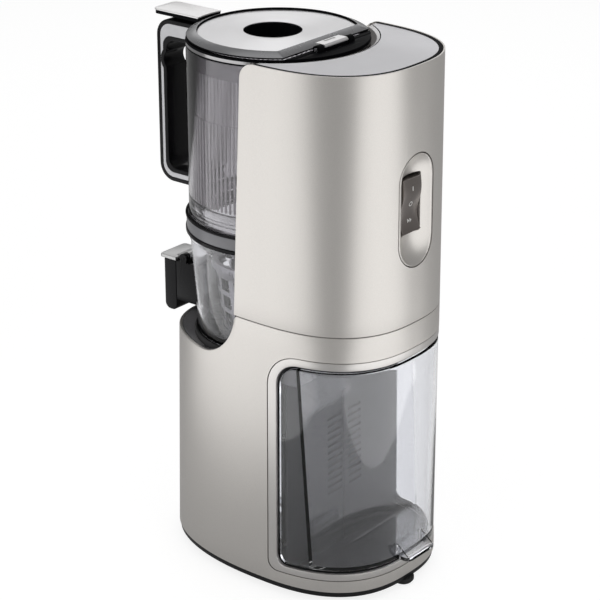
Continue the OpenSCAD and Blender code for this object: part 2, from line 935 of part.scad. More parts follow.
module motor_fan() {
    color("white") at_hopper(fan_z) difference() {
        union() {
            cylinder(r = fan_hub_r, h = fan_h);
            cylinder(r = fan_r, h = fan_t);
            for (i = [0 : fan_blades - 1]) rotate(i * 360 / fan_blades)
                translate([fan_hub_r - over, -blade_t / 2, 0]) cube([fan_r - fan_hub_r, blade_t, fan_h]);
        }
        translate([0, 0, -over]) cylinder(r = rotor_shaft_r + press, h = fan_h + 2 * over);
    }
}

module case_plan(grow) {
    for (c = [[hopper_y, output_r], [lay_y, lay_r]])
        translate([0, c[0]]) circle(r = c[1] + case_clear + grow);
    translate([-output_r - 1 - grow, lay_y]) square([2 * (output_r + 1 + grow), hopper_y - lay_y]);
    if (grow > 0) for (x = [-1, 1], y = [hopper_y + 14, lay_y - 12])
        translate([x * (output_r + 2), y]) circle(r = lug_r, $fn = small_fn);
}

module gearbox_case() {
    floor_z = gear_z + case_t - case_clear;
    color("gainsboro") difference() {
        translate([0, 0, motor_top]) linear_extrude(case_top - motor_top) case_plan(case_t);
        translate([0, 0, floor_z]) linear_extrude(case_top - floor_z + over) case_plan(0);
        at_hopper() cylinder(r = rotor_shaft_r + case_t, h = far);
        translate([0, lay_y, motor_top + 2]) cylinder(r = lay_shaft_r + play, h = far);
    }
}

module gearbox_cover() {
    boss_r = 2 * shaft_r;
    boss_h = 3;
    color("gainsboro") difference() {
        union() {
            translate([0, 0, case_top]) linear_extrude(deck_under - case_top) case_plan(case_t);
            at_hopper(case_top - boss_h) cylinder(r = boss_r, h = boss_h);
        }
        at_hopper() cylinder(r = shaft_r + play, h = far);
        translate([0, lay_y, case_top - over]) cylinder(r = lay_shaft_r + play, h = 2 + over);
    }
}

module lay_gear() {
    color("goldenrod") translate([0, lay_y, 0]) {
        translate([0, 0, motor_top + 2 + gap]) cylinder(r = lay_shaft_r, h = case_top - motor_top - 2 * gap);
        translate([0, 0, first_gear_z]) linear_extrude(gear_w) gear_2d(lay_teeth, 90);
        translate([0, 0, first_gear_z + gear_w]) cylinder(r = lay_collar_r, h = gear_step);
        translate([0, 0, second_gear_z]) linear_extrude(gear_w)
            gear_2d(pinion_teeth, 90 + 180 / pinion_teeth);
    }
}

module output_gear() {
    color("goldenrod") at_hopper(second_gear_z) difference() {
        union() {
            linear_extrude(gear_w) gear_2d(output_teeth, 90);
            cylinder(r = shaft_r + output_hub_t, h = gear_w + gear_step);
        }
        translate([0, 0, -over]) cylinder(r = shaft_r + press, h = gear_w + gear_step + 2 * over);
    }
}

module drive_shaft() {
    foot_z = second_gear_z - 1.5;
    hex_z = ledge_z + 1;
    color("silver") at_hopper() {
        translate([0, 0, foot_z]) cylinder(r = shaft_r, h = hex_z - foot_z);
        translate([0, 0, hex_z]) cylinder(r = hex_r, h = hub_top - hex_z, $fn = 6);
    }
}

// ---- pressing chamber --------------------------------------------------

module chamber_bowl() {
    neck_z = collar_z - bowl_band_h;
    rim = collar_z - gap;
    color("lightblue", 0.4) difference() {
        at_hopper() rotate_extrude() polygon([
            [0, bowl_z], [bowl_foot_r, bowl_z], [hopper_r - 2 * gap, neck_z], [hopper_r, neck_z],
            [hopper_r, rim], [hopper_r - bowl_wall, rim], [hopper_r - bowl_wall, neck_z],
            [bowl_foot_r - bowl_wall, bowl_z + bowl_floor], [0, bowl_z + bowl_floor]]);
        at_hopper(bowl_z - over) cylinder(r = hub_r, h = bowl_floor + 2 * over);
        translate([0, hopper_y - pocket_r / 2, juice_z]) rotate([90, 0, 0]) cylinder(r = juice_r, h = far);
        rear_extrude(hopper_y + pocket_r / 2, soffit_y + 10)
            translate([chute_x - pulp_gate_w / 2, chute_sill_z]) square([pulp_gate_w, pulp_gate_h]);
    }
}

module chamber_base() {
    color("black") at_hopper(ledge_z + base_lift)
        tube(bowl_foot_r, bowl_foot_r - hub_r, bowl_z - ledge_z - base_lift);
}

module strainer() {
    foot = strainer_r - strainer_taper;
    wall_h = strainer_h - strainer_rim_h;
    lip_r = strainer_r + 2;
    lean = atan(strainer_taper / wall_h);
    color("silver") difference() {
        at_hopper(strainer_z) rotate_extrude() polygon([
            [foot - strainer_t, 0], [foot, 0], [strainer_r, wall_h], [lip_r, wall_h],
            [lip_r, strainer_h], [strainer_r - strainer_t, strainer_h], [strainer_r - strainer_t, wall_h]]);
        at_hopper(strainer_z) for (i = [0 : windows - 1], row = [0 : window_rows - 1])
            rotate(i * 360 / windows) translate([foot / 2, -window_w / 2, 5 + row * window_pitch])
                cube([strainer_r, window_w, window_h]);
    }
    color("silver") at_hopper(strainer_z) for (i = [0 : windows - 1]) rotate((i + 0.5) * 360 / windows)
        translate([foot - strainer_t - 0.7, -mesh_rib_w / 2, 2]) rotate([0, lean, 0])
            cube([strainer_t, mesh_rib_w, wall_h - 4]);
}

// Plan of one flight: a wedge from the axis, so its edge is as thick as its root
module flight_2d() {
    wedge = 9;
    polygon(concat([[-1, 0]], arc(0, 0, auger_r + 3, -wedge, wedge, 3)));
}

module auger() {
    core_foot = auger_r - tip_r;
    skirt_r = auger_r - 3;
    shoulder = 50;
    color("darkgray") difference() {
        at_hopper(auger_z) union() {
            rotate_extrude() polygon([
                [0, 0], [skirt_r, 0], [skirt_r, 3], [core_foot, 6], [core_foot - 5, shoulder - 10],
                [tip_r - 2, auger_h - 10], [tip_r - 6, auger_h], [0, auger_h]]);
            intersection() {
                translate([0, 0, flight_from])
                    linear_extrude(auger_h - tip_h - flight_from, twist = -flight_turn, slices = 54, $fn = 12)
                        for (i = [0 : flights - 1]) rotate(i * 360 / flights) flight_2d();
                rotate_extrude() polygon([[0, 0], [auger_r - 1.5, 0], [auger_r, 34],
                    [auger_r - 6, shoulder], [tip_r + 3, auger_h - tip_h], [0, auger_h - tip_h]]);
            }
        }
        at_hopper(auger_z - over) cylinder(r = hex_r + play, h = hub_top - auger_z + 1.5 * over, $fn = 6);
    }
}

// ---- juice spout -------------------------------------------------------

// Space that the bowl takes, with clearance, from its foot to above its rim
module bowl_room() {
    neck_z = collar_z - bowl_band_h;
    at_hopper() rotate_extrude() polygon([
        [0, bowl_z - 5], [bowl_foot_r + gap, bowl_z - 5], [bowl_foot_r + gap, bowl_z],
        [hopper_r + gap, neck_z], [hopper_r + gap, collar_z + 20], [0, collar_z + 20]]);
}

module spout_body() {
    front_y = hopper_y - spout_reach;
    back_y = hopper_y - bowl_foot_r + 4;
    ear_shift = spout_hw - ear_t / 2;
    color("black") difference() {
        union() {
            side_extrude(spout_hw) translate([front_y, bowl_z + 1])
                square([back_y - front_y, spout_top - bowl_z - 1]);
            for (s = [-1, 1]) translate([s * ear_shift, 0, 0]) {
                cross_rod(ear_r, ear_t / 2, cap_pivot_y, cap_pivot_z);
                translate([-ear_t / 2, cap_pivot_y - 3, spout_top - 1]) cube([ear_t, 6, 4]);
            }
        }
        bowl_room();
        at_hopper(juice_z) rotate([90, 0, 0]) cylinder(r = juice_r, h = far);
        cross_rod(cap_pin_r + play, far, cap_pivot_y, cap_pivot_z);
    }
}

module cap_pin() {
    color("silver") cross_rod(cap_pin_r, spout_hw, cap_pivot_y, cap_pivot_z);
}

module juice_cap() {
    color("black") difference() {
        side_extrude(spout_hw) difference() {
            round_rect(cap_y - cap_t, cap_z, cap_y, spout_top + cap_r + 1, cap_r);
            translate([cap_y - far, spout_top - gap - fit]) square([2 * far, far]);
        }
        translate([0, cap_y + skin, juice_z]) rotate([90, 0, 0])
            cylinder(r = cap_seal_r + skin, h = cap_seal_t + fit);
    }
}

module cap_lever() {
    lever_z = spout_top - gap - fit;
    front_y = cap_y - cap_t - lever_over;
    arm_hw = spout_hw - ear_t - gap;
    color("silver") {
        translate([0, 0, lever_z]) {
            translate([-spout_hw, front_y + lever_r, 0])
                cube([2 * spout_hw, cap_y - front_y - lever_r, lever_t]);
            translate([lever_r - spout_hw, front_y, 0])
                cube([2 * (spout_hw - lever_r), lever_r + 1, lever_t]);
            for (s = [-1, 1]) translate([s * (spout_hw - lever_r), front_y + lever_r, 0])
                cylinder(r = lever_r, h = lever_t);
        }
        difference() {
            union() {
                cross_rod(ear_r - 0.1, arm_hw, cap_pivot_y, cap_pivot_z);
                translate([-arm_hw, cap_y - 4, spout_top + 1.2])
                    cube([2 * arm_hw, cap_pivot_y - cap_y + 4, lever_arm_t]);
            }
            cross_rod(cap_pin_r + play, far, cap_pivot_y, cap_pivot_z);
        }
    }
}

module cap_seal() {
    color("gray") translate([0, cap_y - skin, juice_z]) rotate([90, 0, 0]) difference() {
        cylinder(r = cap_seal_r, h = cap_seal_t);
        translate([0, 0, -over]) cylinder(r = juice_r - 2, h = 2 * over);
    }
}

// ---- hopper ------------------------------------------------------------

module hopper_wall() {
    inner_r = hopper_r - hopper_wall_t;
    neck_r = hopper_r - seat_step;
    color("gray", 0.4) at_hopper() rotate_extrude() polygon([
        [hopper_r, hopper_z], [hopper_r, rim_z], [inner_r, rim_z], [inner_r, hopper_z + seat_step],
        [neck_r, hopper_z + 2], [neck_r, hopper_z - neck_h], [neck_r + wall, hopper_z - neck_h],
        [neck_r + wall, hopper_z]]);
}

module hopper_sleeve() {
    color("dimgray", 0.5) at_hopper(rim_z - sleeve_h)
        tube(hopper_r - hopper_wall_t - skin, sleeve_t, sleeve_h);
}

module rim_band() {
    color("silver") at_hopper(rim_z) tube(hopper_r + fit, rim_t, rim_h);
}

module collar_band() {
    color("gray") at_hopper(collar_z + lower_ring_h)
        tube(collar_r - 0.7, collar_t, collar_h - lower_ring_h - upper_ring_h);
}

module collar_rings() {
    color("black") at_hopper(collar_z) tube(collar_r, ring_t, lower_ring_h);
    color("black") at_hopper(collar_z + collar_h - upper_ring_h) tube(collar_r, ring_t, upper_ring_h);
}

// Side view of the handle, its outline moved in by shrink
module handle_side(shrink) {
    outer_y = hopper_y - handle_reach;
    inner_y = outer_y + grip_t;
    reach_in = hopper_y - 40;
    difference() {
        round_rect(outer_y + shrink, handle_z + shrink, reach_in, handle_top - shrink, handle_r - shrink);
        round_rect(inner_y - shrink, handle_z + lower_arm - shrink, reach_in + 10,
            handle_top - upper_arm + shrink, finger_r);
        translate([inner_y + 5, handle_top - bulge_drop]) circle(r = bulge_r + shrink, $fn = small_fn);
    }
}

module handle_frame() {
    color("black") difference() {
        side_extrude(handle_hw) handle_side(0);
        at_hopper() cylinder(r = hopper_r + fit + press, h = far * 3);
        for (s = [-1, 1]) translate([s * handle_hw, 0, 0]) side_extrude(inlay_depth) handle_side(inlay_edge);
    }
}

module handle_inlay() {
    color("white") for (s = [-1, 1]) difference() {
        translate([s * (handle_hw - inlay_depth + inlay_t + 0.05), 0, 0])
            side_extrude(inlay_t) handle_side(inlay_edge + gap);
        at_hopper() cylinder(r = hopper_r + 3, h = far * 3);
    }
}

// ---- lid ---------------------------------------------------------------

module hinge_block() {
    seat_z = rim_z + rim_h;
    slot_hw = bracket_hw + 0.7;
    color("black") difference() {
        union() {
            intersection() {
                at_hopper(seat_z) cylinder(r = hopper_r, h = lid_seat - skin);
                behind(hopper_y + chord_y + 1);
            }
            for (s = [-1, 1]) translate([s * ear_x, 0, 0]) {
                translate([-ear_w / 2, hinge_y - block_r, seat_z])
                    cube([ear_w, 2 * block_r, hinge_z - seat_z]);
                cross_rod(block_r, ear_w / 2, hinge_y, hinge_z);
            }
        }
        cross_rod(hinge_pin_r + play, far, hinge_y, hinge_z);
        translate([-slot_hw, hinge_y - block_r - 1, rim_z]) cube([2 * slot_hw, 2 * (block_r + 1), far]);
    }
}

module hinge_pin() {
    color("silver") cross_rod(hinge_pin_r, ear_x + ear_w / 2, hinge_y, hinge_z);
}

module lid_ring() {
    seat_r = disc_r - 2;
    edge_r = hopper_r - 0.4;
    chord = hopper_y + chord_y;
    color("gray") difference() {
        at_hopper() rotate_extrude() polygon([
            [seat_r, lid_z], [edge_r, lid_z], [edge_r, lid_z + ring_edge_h], [disc_r + 0.4, lid_top],
            [disc_r + fit, lid_top], [disc_r + fit, lid_top - disc_seat], [seat_r, lid_top - disc_seat]]);
        behind(chord);
    }
    color("gray") intersection() {
        at_hopper(lid_z) cylinder(r = disc_r + 6, h = lid_t - disc_seat);
        behind(chord - chord_w);
        before(chord);
    }
}

module lid_disc() {
    color("silver") difference() {
        at_hopper(lid_top - disc_drop - disc_t) cylinder(r = disc_r, h = disc_t);
        at_hopper() translate([0, -feed_shift, 0]) cylinder(r = feed_r, h = far * 3);
        behind(hopper_y + chord_y - chord_w - fit);
    }
}

module lid_under() {
    funnel_t = 2;
    color("black") difference() {
        union() {
            intersection() {
                at_hopper(lid_z + gap) cylinder(r = disc_r - 2 - fit, h = lid_t - disc_seat - gap);
                before(hopper_y + chord_y - chord_w - fit);
            }
            at_hopper(lid_z - funnel_h) translate([0, -feed_shift, 0])
                cylinder(r = feed_r + funnel_t, h = funnel_h + lid_t / 2);
        }
        at_hopper() translate([0, -feed_shift, 0]) cylinder(r = feed_r, h = far * 3);
    }
}

module lid_tongue() {
    y0 = hopper_y - tongue_reach;
    root_y = hopper_y - hopper_r + 8;
    clip_hw = tongue_hw - 2;
    clip_l = 4.6;
    clip_y = hopper_y - hopper_r - clip_l + 2 * gap;
    color("silver") difference() {
        union() {
            translate([0, 0, tongue_z]) {
                translate([-tongue_hw, y0 + tongue_r, 0])
                    cube([2 * tongue_hw, root_y - y0 - tongue_r, tongue_t]);
                translate([tongue_r - tongue_hw, y0, 0])
                    cube([2 * (tongue_hw - tongue_r), tongue_r + 1, tongue_t]);
                for (s = [-1, 1]) translate([s * (tongue_hw - tongue_r), y0 + tongue_r, 0])
                    cylinder(r = tongue_r, h = tongue_t, $fn = small_fn);
            }
            translate([-clip_hw, clip_y, lid_z]) cube([2 * clip_hw, clip_l, lid_seat]);
        }
        at_hopper() cylinder(r = hopper_r - fit, h = far * 3);
    }
}

module lid_bracket() {
    chord = hopper_y + chord_y;
    color("silver") difference() {
        union() {
            translate([-bracket_hw, chord, tongue_z]) cube([2 * bracket_hw, hinge_y - chord, bracket_t]);
            cross_rod(knuckle_r, bracket_hw, hinge_y, hinge_z);
        }
        cross_rod(hinge_pin_r + play, far, hinge_y, hinge_z);
    }
}

// ---- pulp bin ----------------------------------------------------------

// The space inside the bin's own walls, moved in by inset
module bin_body(inset, z0, z1) {
    intersection() {
        flared(bin_skin + inset, z0, z1);
        side_extrude(far) polygon([
            [bin_front_top + bin_draft + inset, z0], [bin_front_top + inset, bin_top],
            [bin_front_top + inset, z1 + over], [far, z1 + over], [far, z0]]);
    }
}

// Curved outer window, as tall and as long as the opening
module bin_window() {
    difference() {
        flared(bin_skin, bin_z, bin_top);
        flared(bin_skin + bin_wall, 0, seam_z);
        side_extrude(far) bay_shut(-trim_show - 2 * gap);
    }
}

module bin_lip() {
    lip_y = rear_reach - lip_root;
    lip_z = bin_z + 1;
    tip_y = lip_y + lip_reach;
    translate([-lip_hw, lip_y, lip_z]) cube([2 * lip_hw, lip_reach, lip_t]);
    for (s = [-1, 1]) translate([s * (lip_hw - fin_t), 0, 0]) side_extrude(fin_t)
        polygon([[lip_y, lip_z + 1], [tip_y, lip_z + 1], [tip_y - fin_lean, lip_z + 4],
                 [lip_y, lip_z + 1 + fin_h]]);
}

module pulp_bin() {
    color("lightgray", 0.4) {
        difference() {
            bin_body(0, bin_z, bin_top);
            bin_body(bin_wall, bin_z + bin_wall, bin_top + 5 * over);
        }
        bin_window();
        bin_lip();
    }
}

base_shell();
upper_shell();
top_cover();
hopper_liner();
deck();
seat_ring();
shaft_seal();
base_plate();
rubber_feet();
base_screws();
bin_bay();
bin_frame();
bin_trim();
pulp_chute();
switch_dish();
switch_body();
rocker_pin();
control_board();
cord_gland();
motor_can();
motor_cradle();
motor_bearings();
gearbox_case();
gearbox_cover();
rocker();
motor_rotor();
motor_fan();
lay_gear();
drive_shaft();
output_gear();
auger();
strainer();
chamber_bowl();
chamber_base();
spout_body();
cap_pin();
juice_cap();
cap_lever();
cap_seal();
hopper_wall();
hopper_sleeve();
rim_band();
collar_band();
collar_rings();
handle_frame();
handle_inlay();
hinge_block();
hinge_pin();
lid_disc();
lid_ring();
lid_under();
lid_tongue();
lid_bracket();
pulp_bin();
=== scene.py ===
"""Looks of a cold press juicer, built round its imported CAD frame.

Lengths are in millimetres until a mesh is made. +Z is up, -Y is the front with the
handle and the juice spout, and +Y the rear with the pulp bin and the switch.
"""
import json
import logging
import math
from dataclasses import dataclass, field
from enum import Enum
from functools import cache
from typing import Any, Iterable, Mapping, Sequence

import bmesh
import bpy
from mathutils import Matrix, Vector


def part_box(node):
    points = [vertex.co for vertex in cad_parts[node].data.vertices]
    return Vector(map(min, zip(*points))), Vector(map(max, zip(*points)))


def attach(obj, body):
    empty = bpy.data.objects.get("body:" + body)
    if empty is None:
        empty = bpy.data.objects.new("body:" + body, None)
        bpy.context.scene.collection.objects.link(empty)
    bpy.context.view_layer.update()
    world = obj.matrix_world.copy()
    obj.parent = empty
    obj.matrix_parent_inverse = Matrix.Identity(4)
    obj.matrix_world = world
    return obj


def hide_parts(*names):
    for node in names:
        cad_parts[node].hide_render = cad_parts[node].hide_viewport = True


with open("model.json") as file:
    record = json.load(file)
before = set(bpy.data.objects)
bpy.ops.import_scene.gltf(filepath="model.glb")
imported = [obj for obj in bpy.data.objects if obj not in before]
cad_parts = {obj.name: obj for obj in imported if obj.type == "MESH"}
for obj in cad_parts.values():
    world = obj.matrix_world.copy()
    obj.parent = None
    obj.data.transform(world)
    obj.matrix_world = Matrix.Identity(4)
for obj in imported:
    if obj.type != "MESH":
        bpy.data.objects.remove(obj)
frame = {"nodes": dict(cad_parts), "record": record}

LOG = logging.getLogger("juicer")
MM = 0.001
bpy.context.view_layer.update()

Pair = tuple[float, float]
Point = tuple[float, float, float]
Colour = tuple[float, float, float]
Loop = list[Point]
Material = bpy.types.Material
Object = bpy.types.Object
Mesh = bpy.types.Mesh
Node = bpy.types.Node
Socket = bpy.types.NodeSocket
Tree = bpy.types.NodeTree


def span(node: str, axis: int) -> Pair:
    """Lowest and highest reach of a CAD node along an axis.

    Args:
        node: Name of the CAD node.
        axis: 0, 1 or 2 for X, Y or Z.

    Returns:
        The two reaches, in millimetres.
    """
    low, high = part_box(node)
    return low[axis] / MM, high[axis] / MM


# ---- flat outlines ----


class Along(Enum):
    """The axis along which a flat outline is drawn out."""

    X = "outline in (y, z)"
    Y = "outline in (x, z)"
    Z = "outline in (x, y)"

    def point(self, u: float, v: float, w: float) -> Point:
        """Place of the outline's point (u, v) at depth w."""
        return {Along.X: (w, u, v), Along.Y: (u, w, v), Along.Z: (u, v, w)}[self]


def arc(centre: Pair, radius: float, start: float, end: float, steps: int = 8) -> list[Pair]:
    """Points along an arc, both ends included.

    Args:
        centre: Middle of the arc.
        radius: Its radius.
        start: Angle of the first point, in degrees.
        end: Angle of the last point, in degrees.
        steps: Number of chords.

    Returns:
        The points in order.
    """
    angles = (math.radians(start + (end - start) * i / steps) for i in range(steps + 1))
    return [(centre[0] + radius * math.cos(a), centre[1] + radius * math.sin(a)) for a in angles]


def circle(centre: Pair, radius: float, steps: int) -> list[Pair]:
    """Evenly spaced points round a circle."""
    return arc(centre, radius, 0, 360 - 360 / steps, steps - 1)


def rounded(corners: Sequence[Pair], radii: float | Sequence[float], steps: int = 5) -> list[Pair]:
    """A closed outline with its corners rounded off.

    Args:
        corners: The outline's corners in order.
        radii: One radius for all corners, or one for each.
        steps: Chords in each rounded corner.

    Returns:
        The outline's points in order.
    """
    outline: list[Pair] = []
    for i, corner in enumerate(corners):
        radius = radii if isinstance(radii, (int, float)) else radii[i]
        if radius <= 0:
            outline.append(corner)
            continue
        here = Vector(corner)
        back, on = Vector(corners[i - 1]) - here, Vector(corners[(i + 1) % len(corners)]) - here
        half = back.angle(on) / 2
        reach = min(radius / math.tan(half), back.length * 0.49, on.length * 0.49)
        radius = reach * math.tan(half)
        middle = here + (back.normalized() + on.normalized()).normalized() * (radius / math.sin(half))
        first, last = here + back.normalized() * reach - middle, here + on.normalized() * reach - middle
        start = math.atan2(first.y, first.x)
        turn = (math.atan2(last.y, last.x) - start + math.pi) % math.tau - math.pi
        outline += arc(tuple(middle), radius, math.degrees(start), math.degrees(start + turn), steps)
    return outline


def box_outline(u0: float, v0: float, u1: float, v1: float, radius: float, steps: int = 6) -> list[Pair]:
    """A rectangle with rounded corners.

    Args:
        u0: Lowest first coordinate.
        v0: Lowest second coordinate.
        u1: Highest first coordinate.
        v1: Highest second coordinate.
        radius: Radius of the corners.
        steps: Chords in each corner.

    Returns:
        The outline's points in order.
    """
    return rounded([(u0, v0), (u1, v0), (u1, v1), (u0, v1)], radius, steps)


def reach_at(outline: Sequence[Pair], centre: Pair, angle: float) -> float:
    """How far an outline lies from a point inside it, in one direction.

    Args:
        outline: Closed outline round the point.
        centre: The point.
        angle: The direction, in degrees.

    Returns:
        The distance to the outline.
    """
    dx, dy = math.cos(math.radians(angle)), math.sin(math.radians(angle))
    best = 0.0
    for (ax, ay), (bx, by) in zip(outline, [*outline[1:], outline[0]]):
        ex, ey = bx - ax, by - ay
        det = dx * ey - dy * ex
        if abs(det) < 1e-12:
            continue
        px, py = ax - centre[0], ay - centre[1]
        along, part = (px * ey - py * ex) / det, (px * dy - py * dx) / det
        if along > 0 and -1e-9 <= part <= 1 + 1e-9:
            best = max(best, along)
    return best


def between(centre: Pair, near: Sequence[float], far: Sequence[float], share: float) -> list[Pair]:
    """Points evenly turned round a centre, at a share of the way from near reaches to far ones.

    Args:
        centre: The centre.
        near: Near reaches, one for each turn.
        far: Far reaches.
        share: 0 for the near ones, 1 for the far ones.

    Returns:
        The points in order.
    """
    points = []
    for i, (inner, outer) in enumerate(zip(near, far)):
        r, a = inner + (outer - inner) * share, math.radians(i * 360 / len(far))
        points.append((centre[0] + r * math.cos(a), centre[1] + r * math.sin(a)))
    return points


# ---- solids and pieces ----


@dataclass
class Solid:
    """Points and faces of a piece in the making, in millimetres."""

    points: list[Point] = field(default_factory=list)
    faces: list[tuple[int, ...]] = field(default_factory=list)
    tones: list[int] = field(default_factory=list)

    def skin(self, rows: Sequence[Loop], ring: bool = True, closed: bool = False,
             tone: int | Sequence[int] = 0) -> "Solid":
        """Adds quads between rows of points.

        Args:
            rows: Rows of equally many points.
            ring: Whether each row's end joins its start.
            closed: Whether the last row joins the first.
            tone: Finish number of the quads, or one for each step between rows.

        Returns:
            The solid itself.
        """
        base, width = len(self.points), len(rows[0])
        for row in rows:
            self.points += row
        for r in range(len(rows) if closed else len(rows) - 1):
            upper = (r + 1) % len(rows)
            here, there = base + r * width, base + upper * width
            for c in range(width if ring else width - 1):
                right = (c + 1) % width
                self.faces.append((here + c, here + right, there + right, there + c))
                self.tones.append(tone if isinstance(tone, int) else tone[r])
        return self

    def cap(self, loop: Loop, tone: int = 0) -> "Solid":
        """Adds one flat face with the loop as its rim.

        Args:
            loop: The rim.
            tone: Finish number of the face.

        Returns:
            The solid itself.
        """
        base = len(self.points)
        self.points += loop
        self.faces.append(tuple(range(base, base + len(loop))))
        self.tones.append(tone)
        return self

    def loft(self, loops: Sequence[Loop], tone: int | Sequence[int] = 0) -> "Solid":
        """Adds a skin through closed loops, with a flat cap at each end."""
        first, last = (tone, tone) if isinstance(tone, int) else (tone[0], tone[-1])
        return self.skin(loops, tone=tone).cap(loops[0], first).cap(loops[-1], last)

    def turned(self, profile: Sequence[Pair], centre: Pair, closed: bool = True, steps: int = 160,
               tone: int | Sequence[int] = 0) -> "Solid":
        """Adds a shape turned about an upright axis.

        Args:
            profile: Points (radius, height) in order.
            centre: Place (x, y) of the axis.
            closed: Whether the profile's end joins its start.
            steps: Facets round the axis.
            tone: Finish number, or one for each step of the profile.

        Returns:
            The solid itself.
        """
        turns = [(math.cos(math.tau * i / steps), math.sin(math.tau * i / steps)) for i in range(steps)]
        rows = [[(centre[0] + r * c, centre[1] + r * s, z) for c, s in turns] for r, z in profile]
        return self.skin(rows, closed=closed, tone=tone)

    def drawn(self, outline: Sequence[Pair], along: Along, start: float, end: float, tone: int = 0) -> "Solid":
        """Adds an outline drawn out along an axis.

        Args:
            outline: The flat outline.
            along: The axis it is drawn out along.
            start: Where it starts.
            end: Where it ends.
            tone: Finish number of its faces.

        Returns:
            The solid itself.
        """
        return self.loft([[along.point(u, v, w) for u, v in outline] for w in (start, end)], tone)

    def tube(self, centre: Pair, inner: float, outer: float, half: float) -> "Solid":
        """Adds a tube along X, from -half to half, about a centre (y, z)."""
        section = ((inner, -half), (outer, -half), (outer, half), (inner, half))
        return self.skin([[(x, y, z) for y, z in circle(centre, r, 60)] for r, x in section], closed=True)

    def mesh(self, name: str) -> Mesh:
        """The solid as a mesh in metres, with doubles merged and normals outward.

        Args:
            name: Name of the mesh.

        Returns:
            The mesh.
        """
        mesh = bpy.data.meshes.new(name)
        mesh.from_pydata([tuple(c * MM for c in p) for p in self.points], [], self.faces)
        mesh.polygons.foreach_set("material_index", self.tones)
        tidy_mesh(mesh)
        return mesh

    def made(self, name: str) -> Object:
        """The solid as a new object."""
        return loose(name, self.mesh(name))


def tidy_mesh(mesh: Mesh, reach: float = 0.004) -> None:
    """Merges doubles, drops faces without area and turns normals outward.

    Args:
        mesh: The mesh to tidy.
        reach: Distance under which points are one, in millimetres.
    """
    work = bmesh.new()
    work.from_mesh(mesh)
    bmesh.ops.remove_doubles(work, verts=work.verts, dist=reach * MM)
    bmesh.ops.dissolve_degenerate(work, edges=work.edges, dist=reach * MM / 4)
    bmesh.ops.recalc_face_normals(work, faces=work.faces)
    work.to_mesh(mesh)
    work.free()


def settle(obj: Object) -> Object:
    """Turns an object's modifiers into plain mesh.

    Args:
        obj: The object.

    Returns:
        The same object.
    """
    bpy.context.view_layer.update()
    evaluated = obj.evaluated_get(bpy.context.evaluated_depsgraph_get())
    made = bpy.data.meshes.new_from_object(evaluated)
    obj.modifiers.clear()
    old, obj.data = obj.data, made
    bpy.data.meshes.remove(old)
    return obj


def loose(name: str, mesh: Mesh) -> Object:
    """Links a new object that holds the mesh.

    Args:
        name: Its name.
        mesh: The mesh.

    Returns:
        The object.
    """
    obj = bpy.data.objects.new(name, mesh)
    bpy.context.scene.collection.objects.link(obj)
    return obj


def soften(obj: Object, width: float, segments: int = 3, angle: float = 40.0) -> Object:
    """Rounds an object's edges.

    Args:
        obj: The object.
        width: Width of the rounding, in millimetres.
        segments: Steps across the rounding.
        angle: Edges sharper than this many degrees are rounded.

    Returns:
        The same object with plain mesh.
    """
    bevel = obj.modifiers.new("soft_edges", "BEVEL")
    bevel.width, bevel.segments = width * MM, segments
    bevel.limit_method, bevel.angle_limit = "ANGLE", math.radians(angle)
    bevel.miter_outer = "MITER_ARC"
    return settle(obj)


def combine(obj: Object, others: Iterable[Solid], how: str = "DIFFERENCE") -> Object:
    """Cuts solids out of an object, or joins them to it.

    Args:
        obj: The object that is changed.
        others: The solids.
        how: Name of the boolean operation.

    Returns:
        The same object with plain mesh.
    """
    tools = [solid.made(f"{obj.name}_tool{i}") for i, solid in enumerate(others)]
    for tool in tools:
        change = obj.modifiers.new("combine", "BOOLEAN")
        change.object, change.operation, change.solver = tool, how, "EXACT"
    settle(obj)
    for tool in tools:
        mesh = tool.data
        bpy.data.objects.remove(tool)
        bpy.data.meshes.remove(mesh)
    return obj


def dressed(obj: Object, body: str, finishes: Sequence["Finish"],
            replaces: Sequence[str] = (), sharp: float = 32.0) -> None:
    """Gives a finished mesh its shading, finish and body.

    Args:
        obj: The piece.
        body: CAD body that it rides on.
        finishes: Finishes in the order of the mesh's finish numbers.
        replaces: CAD nodes that it stands for.
        sharp: Edges sharper than this many degrees are not smoothed over.
    """
    mesh = obj.data
    # clearing the materials also clears the faces' finish numbers
    tones = [min(face.material_index, len(finishes) - 1) for face in mesh.polygons]
    mesh.materials.clear()
    for finish in finishes:
        mesh.materials.append(finish.material())
    mesh.polygons.foreach_set("material_index", tones)
    mesh.shade_smooth()
    mesh.set_sharp_from_angle(angle=math.radians(sharp))
    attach(obj, body)
    if replaces:
        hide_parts(*replaces)
    LOG.info("piece %s on %s, %d faces", obj.name, body, len(mesh.polygons))


def refined(node: str, body: str, finish: "Finish", edge: float = 0.0) -> None:
    """Dresses a smooth copy of a CAD node, with softened edges.

    Args:
        node: The CAD node.
        body: Its body.
        finish: Its finish.
        edge: Width of the rounded edges, in millimetres.
    """
    obj = loose(f"{node}_dressed", frame["nodes"][node].data.copy())
    tidy_mesh(obj.data, 0.01)
    if edge:
        work = bmesh.new()
        work.from_mesh(obj.data)
        bmesh.ops.dissolve_limit(work, angle_limit=math.radians(0.5), verts=work.verts, edges=work.edges)
        work.to_mesh(obj.data)
        work.free()
        soften(obj, edge, 2, 50)
    dressed(obj, body, [finish], [node])


